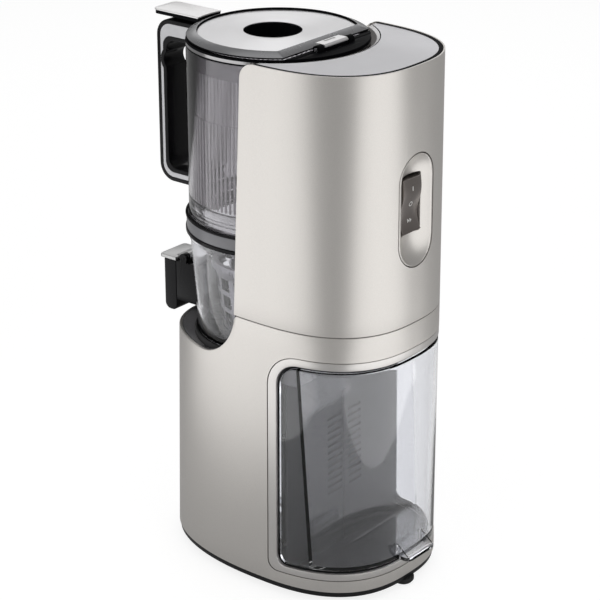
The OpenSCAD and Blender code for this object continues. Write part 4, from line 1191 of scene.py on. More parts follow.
@dataclass
class Column:
    """Base shell, upper shell, top panel, ledge and the liner behind the hopper."""

    wall: float = 2.5
    edge: float = 0.55
    columns: int = 300
    frame_w: float = 7.5
    gap: float = 0.55
    dish_gap: float = 0.8
    cover_drop: float = 0.5
    bay_r: float = 70.0
    seal_w: float = 2.9
    rim_t: float = 1.1
    seat_h: float = 1.5
    groove_w: float = 0.15
    seam_half: float = 1.6
    seam_depth: float = 0.7
    base_rows: int = 14

    def build(self) -> None:
        """Builds every piece of the column."""
        self.upper_shell()
        self.base_shell()
        self.top_panel()
        self.ledge()
        self.seam()
        refined("hopper_liner", "housing", SHELL)

    def upper_shell(self) -> None:
        """The upper shell, open at the front and stepped for the panel, with rounded top corners."""
        start, seat_z = CUT.top_z - CUT.corner_r, CUT.top_z - self.seat_h
        heights = [CUT.seam_z + (start - CUT.seam_z) * i / 12 for i in range(12)]
        heights += [start + CUT.corner_r * math.sin(math.pi / 2 * i / 12) for i in range(13)]
        heights = sorted([h for h in heights if abs(h - seat_z) > 0.2] + [seat_z])
        steps = [(z, self.wall if z <= seat_z else self.rim_t) for z in heights]
        steps.insert(heights.index(seat_z) + 1, (seat_z, self.rim_t))
        rows = []
        for z, deep in steps:
            outer, inner = (PLAN.rear_walk(CUT.front_at(z), self.columns, inset, z) for inset in (0.0, deep))
            rows.append(outer + inner[::-1])
        solid = Solid().skin(rows)
        count = self.columns
        for row in (rows[0], rows[-1]):
            solid.skin([row[:count], row[count:][::-1]], ring=False)
        outline = SwitchStation().outline(self.dish_gap)
        hole = Solid().drawn(outline, Along.Y, PLAN.rear_reach - 12, PLAN.rear_reach + 20)
        shell = combine(soften(solid.made("upper_shell_satin"), self.edge, 3, 50), [hole])
        dressed(shell, "housing", [SHELL], ["upper_shell"])

    def seam(self) -> None:
        """A black strip behind the seam between the two shells: painted shade that makes the seam read as a dark line.
        """
        low, high, face = PLAN.seam_z - self.seam_half, PLAN.seam_z + self.seam_half, self.seam_depth
        rows = [PLAN.rear_walk(CUT.front_at(PLAN.seam_z) + 0.6, self.columns, inset, z)
                for z, inset in ((low, self.wall), (low, face), (high, face), (high, self.wall))]
        solid = Solid().skin(rows, ring=False).skin([rows[-1], rows[0]], ring=False)
        solid.cap([row[0] for row in rows]).cap([row[-1] for row in rows])
        dressed(solid.made("seam_backing"), "housing", [BLACK_WITH_PAINTED_SHADE])

    def base_angles(self) -> list[float]:
        """Angles of the base's columns, closer together along the sweep.

        Returns:
            The angles, in degrees, right round.
        """
        side = [CUT.sweep_y - 0.01]
        side += [CUT.sweep_y + CUT.sweep_r * math.sin(math.radians(a)) for a in range(3, 88, 3)]
        seam_y = CUT.sweep_y + math.sqrt(CUT.sweep_r ** 2 - (CUT.ledge_z + CUT.sweep_r - PLAN.seam_z + 0.3) ** 2)
        sweep = [PLAN.angle_at(y) for y in side if y < seam_y] + [PLAN.angle_at(seam_y)]
        front = [PLAN.angle_at(p[1]) for p in PLAN.walk(-90, sweep[0], 90, 0, 0)][:-1]
        rear = [PLAN.angle_at(p[1]) for p in PLAN.walk(sweep[-1] + 0.05, 90, 90, 0, 0)]
        half = front + sweep + rear
        return half + [180 - a for a in reversed(half[1:-1])]

    def base_shell(self) -> None:
        """The base shell with its swept rim, cut out for the bin's frame."""
        roof = PLAN.seam_z - self.gap
        faces = []
        for inset in (0.0, self.wall):
            rows: list[Loop] = [[] for _ in range(self.base_rows + 1)]
            for angle in self.base_angles():
                rim = CUT.top_at(PLAN.at(angle, 0, 0, PLAN.scale_at(190))[1], roof)
                for i, row in enumerate(rows):
                    z = PLAN.foot_z + (rim - PLAN.foot_z) * i / self.base_rows
                    row.append(PLAN.at(angle, inset, z, PLAN.scale_at(z)))
            faces.append(rows)
        solid = Solid().skin([*faces[0], *reversed(faces[1])], closed=True)
        cutter = Solid().drawn(OPENING.side(self.frame_w + self.gap), Along.X, -120, 120)
        shell = combine(soften(solid.made("base_shell_satin"), self.edge, 3, 50), [cutter])
        dressed(shell, "housing", [SHELL], ["base_shell"])

    def crescent(self, deep: float, inset: float, z: float, inner_z: float, count: int = 120) -> tuple[Loop, Loop]:
        """The top panel's two long sides.

        Args:
            deep: How far its outer side lies inside the shell's face.
            inset: How far its inner side lies outside the hopper's bay.
            z: Height of the outer side.
            inner_z: Height of the inner side.
            count: Points on each side.

        Returns:
            The outer side and the inner one, which starts where the outer one ends.
        """
        tip_y = CUT.front_at(CUT.top_z - self.cover_drop) + 1.0 + inset
        radius = self.bay_r + inset
        tip = math.degrees(math.asin((tip_y - AXIS[1]) / radius))
        inner = arc(AXIS, radius, 180 - tip, tip, count - 1)
        return PLAN.rear_walk(tip_y, count, deep, z), [(x, y, inner_z) for x, y in inner]

    def top_panel(self) -> None:
        """The crescent panel on top: a groove round it, black as painted shade, and a sloped grey border at the bay.
        """
        top = CUT.top_z - self.cover_drop
        lip, body = self.rim_t + self.groove_w, self.wall + 0.2
        under = CUT.top_z - self.seat_h + 0.3
        seal, rise = lip + self.seal_w, CUT.top_z - 0.05
        rows = [(body, 0.0, top - 2.4, top - 2.4), (body, 0.0, under, top - 1.9), (lip, 0.05, under, top - 1.6),
                (lip, 2.0, rise, top - 0.3), (seal - 0.1, 2.2, rise, top - 0.3),
                (seal, 2.25, rise - 0.1, top - 0.9), (seal + 0.05, 3.0, rise - 0.2, top - 0.9),
                (seal + 0.1, 3.05, rise - 0.25, top - 0.2), (seal + 0.5, 3.4, top, top)]
        sides = [self.crescent(*row) for row in rows]
        # finish 1, the unreflecting black on the groove and the narrow strips beside it, is painted shade of the
        # groove
        solid = Solid().skin([outer for outer, _ in sides], ring=False, tone=[1, 1, 1, 1, 1, 1, 2, 2])
        solid.skin([inner for _, inner in sides], ring=False, tone=[0, 0, 0, 0, 1, 1, 1, 2])
        solid.skin([[outer[-1], inner[0]] for outer, inner in sides], ring=False, tone=0)
        solid.skin([[inner[-1], outer[0]] for outer, inner in sides], ring=False, tone=0)
        solid.skin([sides[-1][0], sides[-1][1][::-1]], ring=False, tone=2)
        solid.skin([sides[0][0], sides[0][1][::-1]], ring=False)
        panel = solid.made("top_panel")
        dressed(panel, "housing", [LID_PLATE, BLACK_WITH_PAINTED_SHADE, COVER], ["top_cover"])

    def ledge(self) -> None:
        """The ledge that carries the chamber, and the rubber ring in its pocket."""
        refined("deck", "housing", LEDGE)
        low, high = span("seat_ring", 2)
        r, inner, bed = span("seat_ring", 0)[1], 14, low + 1.2
        corners = [(inner, low), (r, low), (r, high), (r - 1.7, high), (r - 1.7, bed), (inner, bed)]
        ring = Solid().turned(rounded(corners, [0, 0.2, 0.7, 0.7, 0.4, 0.2]), AXIS)
        dressed(ring.made("seat_ring_rubber"), "housing", [RUBBER], ["seat_ring"])


# ---- switch ----


class Mark(Enum):
    """Generic marks on the rocker, by their height share on its face."""

    BAR = 0.62
    RING = 0.02
    BACK = -0.62


@dataclass
class SwitchStation:
    """Recess in the rear of the upper shell with a tilting rocker."""

    half_w: float = 19.5
    half_h: float = 41.5
    depth: float = 8.0
    back: float = 3.0
    rocker_hw: float = 10.3
    rocker_hh: float = 20.0
    hole_side: float = 0.7
    hole_room: float = 1.7
    hole_corner: float = 1.2

    def __post_init__(self) -> None:
        """Places the recess by its CAD nodes."""
        self.middle_z = sum(span("switch_dish", 2)) / 2
        self.rocker_z = sum(span("rocker", 2)) / 2
        self.floor_y = PLAN.rear_reach - self.depth
        self.scoop_r = (self.half_w ** 2 + self.depth ** 2) / (2 * self.depth) - 1
        self.face_y = self.floor_y + 2.5
        self.pivot_y = self.floor_y - 5

    def build(self) -> None:
        """Builds the recess, the rocker and what carries it."""
        self.dish()
        self.rocker()
        refined("switch_body", "housing", BLACK, 0.5)

    def outline(self, grow: float = 0.0) -> list[Pair]:
        """The recess's outline in (x, z)."""
        r, straight = self.half_w + grow, self.half_h - self.half_w
        return [*arc((0, self.middle_z + straight), r, 0, 180, 40),
                *arc((0, self.middle_z - straight), r, 180, 360, 40)]

    def surface_y(self, x: float) -> float:
        """Where the shell's rear face lies at x."""
        share, power = min(1.0, abs(x) / (PLAN.half_w - 0.1)), PLAN.rear_power
        return PLAN.wide_y + (PLAN.rear_reach - PLAN.wide_y - 0.1) * (1 - share ** power) ** (1 / power)

    def scoop_y(self, x: float, z: float) -> float:
        """The recess's own face, never prouder than the shell's."""
        away = math.hypot(x, max(0.0, abs(z - self.middle_z) - self.half_h + self.half_w))
        return min(self.surface_y(x), self.floor_y + self.scoop_r - math.sqrt(max(0.0, self.scoop_r ** 2 - away ** 2)))

    def dish(self) -> None:
        """The recess as one smooth shell with the rocker's hole in it."""
        centre = (0.0, self.middle_z + 1)
        hw, hh = self.rocker_hw + self.hole_side, self.rocker_hh + self.hole_room
        hole = box_outline(-hw, self.rocker_z - hh, hw, self.rocker_z + hh, self.hole_corner)
        rim = self.outline()
        turns = [i * 360 / 220 for i in range(220)]
        near = [reach_at(hole, centre, a) for a in turns]
        far = [reach_at(rim, centre, a) for a in turns]

        def loop(share: float, y: float | None = None, sink: float = 0.0, shrink: float = 0.0) -> Loop:
            """A loop between the hole (share 0) and the rim (share 1)."""
            return [(x, (self.scoop_y(x, z) if y is None else y) - sink, z)
                    for x, z in between(centre, near, [r - shrink for r in far], share)]

        back_y = self.floor_y - self.back
        shares = [0.06, 0.15, 0.3, 0.45, 0.6, 0.72, 0.8, 0.86, 0.9, 0.93, 0.96, 0.98]
        loops = [loop(0, back_y), loop(0, None, 0.9), loop(0.004, None, 0.35), loop(0.02, None, 0.06)]
        loops += [loop(s) for s in shares]
        loops += [loop(1, None, 0.0, 0.35), loop(1, None, 0.12, 0.1), loop(1, None, 0.5), loop(1, back_y)]
        dish = Solid().skin(loops, closed=True).made("switch_dish_satin")
        dressed(dish, "housing", [SHELL], ["switch_dish"])

    def rocker_face(self, share: float) -> float:
        """Where the rocker's face lies at a share of its half height."""
        return self.face_y + 1.6 * math.sin(share * math.pi) + 1.2 * share * share - 0.4

    def rocker(self) -> None:
        """The rocker, raised above and hollowed below, with three generic marks."""
        z, hh, back = self.rocker_z, self.rocker_hh, self.pivot_y - 4
        face = [(self.rocker_face(2 * i / 28 - 1), z + (2 * i / 28 - 1) * (hh - 0.6)) for i in range(29)]
        outline = [(back, z - 7), (back + 4, z - hh), (self.face_y + 1.6, z - hh), *face,
                   (self.face_y + 1.2, z + hh), (back + 4, z + hh), (back, z + 7)]
        solid = Solid().drawn(outline, Along.X, -self.rocker_hw, self.rocker_hw)
        rocker = soften(solid.made("rocker_gloss"), 1.1, 4, 45)
        combine(rocker, [Solid().drawn(circle((self.pivot_y, z), 1.55, 24), Along.X, -20, 20)])
        dressed(rocker, "rocker", [ROCKER], ["rocker"])
        marks = Solid()
        for mark in Mark:
            for outline in self.mark_outlines(mark):
                self.lay_mark(marks, mark, outline)
        dressed(marks.made("rocker_marks"), "rocker", [MARK])

    @staticmethod
    def mark_outlines(mark: Mark) -> list[list[Pair]]:
        """Outlines of one mark, round its own middle.

        Args:
            mark: The mark.

        Returns:
            Its outlines in (x, height).
        """
        if mark is Mark.BAR:
            return [box_outline(-0.45, -1.7, 0.45, 1.7, 0.3, 2)]
        if mark is Mark.RING:
            return [arc((0, 0), 1.9, a, a + 30, 2) + arc((0, 0), 1.3, a + 30, a, 2) for a in range(0, 360, 30)]
        return [[(-2.6, 0), (-0.4, -1.5), (-0.4, 1.5)], [(0.0, 0), (2.2, -1.5), (2.2, 1.5)]]

    def lay_mark(self, solid: Solid, mark: Mark, outline: list[Pair]) -> None:
        """Adds one thin printed shape to the rocker's face.

        Args:
            solid: The solid that takes it.
            mark: The mark.
            outline: One of its outlines.
        """
        loops = []
        for rise in (-0.2, 0.05):
            loop = []
            for x, dz in outline:
                share = mark.value + dz / self.rocker_hh
                loop.append((x, self.rocker_face(share) + rise, self.rocker_z + share * (self.rocker_hh - 0.6)))
            loops.append(loop)
        solid.loft(loops)


# ---- bin bay and bin ----


@cache
def repeat_item() -> Tree:
    """Geometry group: an item repeated along a line, round a circle, or both.

    Returns:
        The group.
    """
    tree, g, given, made = node_group(
        "GeometryNodeTree", "repeat_item",
        [("Item", "NodeSocketObject", None), ("Count", "NodeSocketInt", 4), ("Start", VECTOR, (0, 0, 0)),
         ("Step", VECTOR, (0, 0, 0)), ("Radius", FLOAT, 0.0), ("First", FLOAT, 0.0), ("Turn", FLOAT, 0.0),
         ("Finish", "NodeSocketMaterial", None)],
        [("Geometry", "NodeSocketGeometry")])
    number = g.add("GeometryNodeInputIndex").outputs[0]
    angle = g.math("ADD", given["First"], g.math("MULTIPLY", given["Turn"], number))
    round_x = g.math("MULTIPLY", g.math("COSINE", angle), given["Radius"])
    round_y = g.math("MULTIPLY", g.math("SINE", angle), given["Radius"])
    around = g.add("ShaderNodeCombineXYZ", {0: round_x, 1: round_y}).outputs[0]
    line = g.vector("SCALE", {0: given["Step"], "Scale": number})
    both = g.vector("ADD", {0: around, 1: line})
    place = g.vector("ADD", {0: both, 1: given["Start"]})
    points = g.add("GeometryNodePoints", {"Count": given["Count"]}).outputs[0]
    placed = g.add("GeometryNodeSetPosition", {"Geometry": points, "Position": place}).outputs[0]
    item = g.add("GeometryNodeObjectInfo", {"Object": given["Item"]}).outputs["Geometry"]
    turned = g.add("ShaderNodeCombineXYZ", {2: angle}).outputs[0]
    copies = g.add("GeometryNodeInstanceOnPoints", {"Points": placed, "Instance": item, "Rotation": turned}).outputs[0]
    plain = g.add("GeometryNodeRealizeInstances", {"Geometry": copies}).outputs[0]
    dressed_up = g.add("GeometryNodeSetMaterial", {"Geometry": plain, "Material": given["Finish"]}).outputs[0]
    tree.links.new(dressed_up, made["Geometry"])
    return tree


@dataclass
class PulpBay:
    """Silver frame, black trim and dark walls round the bin."""

    wall_t: float = 2.0
    half_w: float = 65.6
    louvres: int = 12
    pitch: float = 5.5
    slot_l: float = 17.0
    slot_h: float = 2.6
    rib: float = 6.5
    slot_drop: float = 44.7
    floor_in: float = 2.8
    blade_lean: float = 38.0

    def __post_init__(self) -> None:
        """Places the bay by its CAD nodes."""
        self.wall_y = OPENING.front_y + 6
        self.low, self.high = span("bin_bay", 2)
        self.slot_top = self.high - self.slot_drop

    def build(self) -> None:
        """Builds the frame, the trim, the walls, the louvres and the chute."""
        frame_steps = [(7.5, 2.4), (7.5, 0.7), (7.42, 0.35), (7.2, 0.15), (6.9, 0.1), (0.7, 0.1), (0.35, 0.16),
                       (0.1, 0.4), (0.0, 0.8), (0.0, 2.4)]
        self.band("bin_frame_silver", frame_steps, "frame_silver", FRAME, "bin_frame")
        trim_steps = [(4.0, 2.6), (-1.9, 2.6), (-2.2, 2.68), (-2.4, 3.0), (-2.4, 4.9), (4.0, 4.9)]
        self.band("bin_trim_black", trim_steps, "black_plastic", BLACK, "bin_trim")
        self.walls()
        self.blades()
        refined("pulp_chute", "housing", BLACK_SATIN, 0.4)

    def band(self, name: str, steps: Sequence[Pair], slot: str, finish: Finish, node: str) -> None:
        """A band round the opening.

        Args:
            name: Name of the piece.
            steps: Its section as (grow, inset) pairs.
            slot: Its material slot; not used.
            finish: Its finish.
            node: The CAD node that it stands for.
        """
        loops = [OPENING.round_rear(grow, inset) for grow, inset in steps]
        band = Solid().skin(loops, closed=True).made(name)
        dressed(band, "housing", [finish], [node])

    def slots(self) -> Solid:
        """The louvre slots in their two columns.

        Returns:
            The slots as one solid.
        """
        cut = Solid()
        for side in (-1, 1):
            x = side * (self.slot_l + self.rib) / 2
            for i in range(self.louvres):
                z = self.slot_top - i * self.pitch
                outline = box_outline(x - self.slot_l / 2, z, x + self.slot_l / 2, z + self.slot_h, 0.8, 2)
                cut.drawn(outline, Along.Y, self.wall_y - 8, self.wall_y + 8)
        return cut

    def walls(self) -> None:
        """The front wall with its slots and rib, and the floor."""
        floor_z = self.low + self.wall_t
        front = self.wall_y - self.wall_t
        outline = box_outline(-self.half_w, floor_z - 0.5, self.half_w, self.high, 1.0, 2)
        wall = Solid().drawn(outline, Along.Y, front, self.wall_y)
        bay = combine(wall.made("bin_bay_walls"), [self.slots()])
        scale = PLAN.scale_at(floor_z)
        floor = Solid().loft([PLAN.rear_walk(front, 90, self.floor_in, z, scale) for z in (self.low, floor_z)])
        strip = box_outline(-2.5, floor_z - 0.8, 2.5, self.slot_top + 19, 1.0)
        rib = Solid().drawn(strip, Along.Y, self.wall_y - 0.6, self.wall_y + 1.6)
        combine(bay, [rib, floor], "UNION")
        dressed(bay, "housing", [DARK], ["bin_bay"])

    def blades(self) -> None:
        """The slanted blades behind the slots, repeated by geometry nodes."""
        lean, reach = math.radians(self.blade_lean), self.slot_l / 2 + 0.5
        leaning = [(u * math.cos(lean) - v * math.sin(lean), u * math.sin(lean) + v * math.cos(lean))
                   for u, v in box_outline(-0.45, -2.6, 0.45, 2.6, 0.35, 3)]
        for side, label in ((-1, "left"), (1, "right")):
            item = Solid().drawn(leaning, Along.X, -reach, reach).made("blade")
            start = (side * (self.slot_l + self.rib) / 2 * MM, (self.wall_y - 3.9) * MM,
                     (self.slot_top + self.slot_h / 2 + 0.6) * MM)
            blades = repeated(f"louvre_blades_{label}", item, repeat_item(), {
                "Count": self.louvres, "Start": start, "Step": (0.0, 0.0, -self.pitch * MM),
                "Finish": BLACK_SATIN.material()})
            dressed(blades, "housing", [BLACK_WITH_PAINTED_SHADE])


@dataclass
class PulpBin:
    """The clear bin: a tub with a curved window that runs past its front wall."""

    wall: float = 2.6
    skin: float = 0.4
    draft: float = 10.0
    lip_hw: float = 15.5
    lip_reach: float = 12.0
    lip_t: float = 2.4
    fin_h: float = 11.0
    window_in: float = 3.0
    front_y: float = 69.8

    def __post_init__(self) -> None:
        """Places the bin by its CAD node."""
        self.low, self.high = span("pulp_bin", 2)
        self.front_top = AXIS[1] + self.front_y

    def front_at(self, z: float) -> float:
        """Where the tub's front wall lies at a height."""
        return self.front_top + self.draft * (self.high - z) / (self.high - self.low)

    def window_at(self, z: float) -> float:
        """Where the window's front edge lies at a height, with its round corners.

        Args:
            z: The height.

        Returns:
            The edge's y.
        """
        y, low, high, r = OPENING.edges(-self.window_in)
        foot = OPENING.foot_r
        if z < low + foot:
            y += foot - math.sqrt(max(0.0, foot ** 2 - (low + foot - z) ** 2))
        if z > high - r:
            y += r - math.sqrt(max(0.0, r ** 2 - (z - high + r) ** 2))
        return min(y, self.front_at(z) - 0.3)

    def outer(self, z: float, inset: float = 0.0) -> list[Loop]:
        """The outer outline at a height, in six runs.

        Args:
            z: The height.
            inset: How far the outline is moved in.

        Returns:
            Rear face, left window out, left window in, front wall, right window in, right window out.
        """
        scale = PLAN.scale_at(z)
        back, front = self.front_at(z) + inset, self.window_at(z) + inset
        face, deep = self.skin + inset, self.skin + self.wall - inset

        def right(y: float, depth: float) -> Point:
            """A point of the outline on the +X side."""
            return PLAN.at(PLAN.angle_at(y, depth, scale), depth, z, scale)

        rear = PLAN.rear_walk(back, 110, face, z, scale)
        ys = [back + (front - back) * i / 8 for i in range(9)]
        out = [right(y, face) for y in ys]
        inner = [right(y, deep) for y in ys]
        corner = inner[0]
        across = [(corner[0] * (2 * i / 12 - 1), back, z) for i in range(1, 12)]
        mirrored = [[(-x, y, zz) for x, y, zz in run] for run in (out, inner)]
        return [rear, mirrored[0], mirrored[1][::-1], across, inner, out[::-1]]

    def inner(self, z: float) -> tuple[Loop, Loop]:
        """The tub's inside at a height: its rear face and its front wall.

        Args:
            z: The height.

        Returns:
            The points of each.
        """
        back = self.front_at(z) + self.wall
        rear = PLAN.rear_walk(back, 110, self.skin + self.wall, z, PLAN.scale_at(z))
        corner = rear[0][0]
        return rear, [(corner * (2 * i / 12 - 1), back, z) for i in range(1, 12)]

    def build(self) -> None:
        """Builds the bin with its window, its tub and its pull lip."""
        heights = [(self.low, 0.7), (self.low + 0.3, 0.3), (self.low + 0.9, 0.0), (self.low + 3, 0.0),
                   (self.low + 6, 0.0)]
        count = 22
        heights += [(self.low + 9 + (self.high - 20 - self.low - 9) * i / count, 0.0) for i in range(count + 1)]
        heights += [(self.high - 20 + 19.2 * i / 10, 0.0) for i in range(1, 11)]
        heights += [(self.high - 0.3, 0.15), (self.high, 0.45)]
        rows = [self.outer(z, inset) for z, inset in heights]
        solid = Solid().skin([sum(runs, []) for runs in rows])
        foot, head = rows[0], rows[-1]
        for runs in (foot, head):
            solid.skin([runs[1], runs[2][::-1]], ring=False)
            solid.skin([runs[5], runs[4][::-1]], ring=False)
        solid.cap(foot[0] + foot[3])
        floor = self.low + self.wall
        tub = [sum(self.inner(z), []) for z in (floor, floor + 4, (self.low + self.high) / 2, self.high)]
        solid.skin(tub).cap(tub[0])
        solid.skin([head[0] + head[3], tub[-1]])
        bin_piece = combine(solid.made("pulp_bin_clear"), self.lip(), "UNION")
        dressed(bin_piece, "bin", [BIN_CLEAR], ["pulp_bin"], 28)

    def lip(self) -> list[Solid]:
        """The pull lip: a tray with a thick front edge and a fin at each end.

        Returns:
            Its solids.
        """
        y0 = PLAN.rear_reach - 2.6
        y1 = y0 + self.lip_reach
        z0 = self.low + 1
        tray = rounded([(-self.lip_hw, y0), (self.lip_hw, y0), (self.lip_hw, y1), (-self.lip_hw, y1)],
                       [0, 0, 5, 5], 6)
        edge = rounded([(-self.lip_hw, y1 - 2.2), (self.lip_hw, y1 - 2.2), (self.lip_hw, y1), (-self.lip_hw, y1)],
                       [0.3, 0.3, 1.9, 1.9], 6)
        parts = [Solid().drawn(tray, Along.Z, z0, z0 + self.lip_t),
                 Solid().drawn(edge, Along.Z, z0 + 0.6, z0 + self.lip_t + 1.3)]
        fin = [(y0, z0 + 1), (y1 - 0.4, z0 + 1), (y1 - 2, z0 + 4), (y0, z0 + 1 + self.fin_h)]
        for side in (-1, 1):
            x = side * (self.lip_hw - 0.65)
            parts.append(Solid().drawn(fin, Along.X, x - 0.6, x + 0.6))
        return parts


# ---- chamber and spout ----


@dataclass
class PressChamber:
    """The clear bowl with its black foot, strainer and auger."""

    wall: float = 2.6
    floor: float = 3.0
    hub_r: float = 12.0
    way_r: float = 9.0
    way_up: float = 14.0

    def __post_init__(self) -> None:
        """Places the chamber by its CAD nodes."""
        self.low, self.high = span("chamber_bowl", 2)
        self.rim_r = span("chamber_bowl", 0)[1]
        self.foot_r = span("chamber_base", 0)[1]
        self.neck_z = self.high + 0.3 - 6

    def build(self) -> None:
        """Builds the bowl, the foot and what turns in them."""
        self.bowl()
        low, high = span("chamber_base", 2)
        corners = [(self.hub_r, low), (self.foot_r, low), (self.foot_r, high), (self.hub_r, high)]
        foot = Solid().turned(rounded(corners, [0.2, 0.8, 0.3, 0.2]), AXIS)
        dressed(foot.made("chamber_foot"), "chamber", [BLACK], ["chamber_base"])
        refined("strainer", "chamber", SIEVE)
        refined("auger", "auger", AUGER)

    def bowl(self) -> None:
        """The bowl, with the juice way and the pulp gate cut through its wall."""
        inner_rim, inner_foot = self.rim_r - self.wall, self.foot_r - self.wall
        corners = [(self.hub_r, self.low), (self.foot_r, self.low), (self.rim_r - 0.6, self.neck_z),
                   (self.rim_r, self.neck_z), (self.rim_r, self.high), (inner_rim, self.high),
                   (inner_rim, self.neck_z), (inner_foot, self.low + self.floor), (self.hub_r, self.low + self.floor)]
        profile = rounded(corners, [0, 1.2, 0.2, 0.25, 0.7, 0.7, 2.0, 3.0, 0.3], 4)
        bowl = Solid().turned(profile, AXIS, steps=180).made("chamber_bowl_clear")
        way = circle((0, self.low + self.way_up), self.way_r, 48)
        gate = box_outline(0, 188, 24, 200, 2)
        combine(bowl, [Solid().drawn(way, Along.Y, -120, -50), Solid().drawn(gate, Along.Y, 20, 60)])
        dressed(bowl, "chamber", [CLEAR], ["chamber_bowl"])


@dataclass
class JuiceSpout:
    """Spout body with its hinged cap and lever plate."""

    half_w: float = 14.5
    plate_t: float = 3.0

    def build(self) -> None:
        """Builds the spout's pieces."""
        refined("spout_body", "chamber", BLACK, 0.7)
        refined("cap_pin", "chamber", BLACK)
        self.cap()
        self.lever()

    def cap(self) -> None:
        """The black cap, rounded at its foot."""
        y0, y1 = span("juice_cap", 1)
        z0, z1 = span("juice_cap", 2)
        outline = rounded([(y0, z0), (y1, z0), (y1, z1), (y0, z1)], [5, 4, 0.5, 0.5], 8)
        cap = Solid().drawn(outline, Along.X, -self.half_w, self.half_w).made("juice_cap_black")
        soften(cap, 1.4, 4, 40)
        chamber = PressChamber()
        seat = circle((0, chamber.low + chamber.way_up), chamber.way_r + 2, 48)
        combine(cap, [Solid().drawn(seat, Along.Y, y1 - 2.3, y1 + 3)])
        dressed(cap, "cap", [BLACK], ["juice_cap"])

    def lever(self) -> None:
        """The silver plate over the cap, with the arm that turns on the pin."""
        y0, low, back = span("cap_lever", 1)[0], span("cap_lever", 2)[0], span("juice_cap", 1)[1]
        thick = self.plate_t
        layers = [(0.7, 0.0), (0.2, 0.25), (0.0, 0.7), (0.0, thick - 0.9), (0.25, thick - 0.3), (0.9, thick)]
        plates = []
        for inset, rise in layers:
            hw = self.half_w - inset
            front, rear = y0 + inset, back - inset
            plate = rounded([(-hw, front), (hw, front), (hw, rear), (-hw, rear)], [3, 3, 0.6, 0.6], 8)
            plates.append([(x, y, low + rise) for x, y in plate])
        solid = Solid().loft(plates)
        pivot = (span("cap_pin", 1)[0] + 1.6, sum(span("cap_pin", 2)) / 2)
        hw = self.half_w - 5.3
        arm = [(back - 4, low + 2), (pivot[0], low + 2.2), (pivot[0], pivot[1] + 3), (back - 4, low + 2.9)]
        solid.drawn(arm, Along.X, -hw, hw).tube(pivot, 1.65, 3.4, hw)
        lever = solid.made("cap_lever_silver")
        dressed(lever, "cap", [LEVER], ["cap_lever"])


# ---- hopper, handle and lid ----


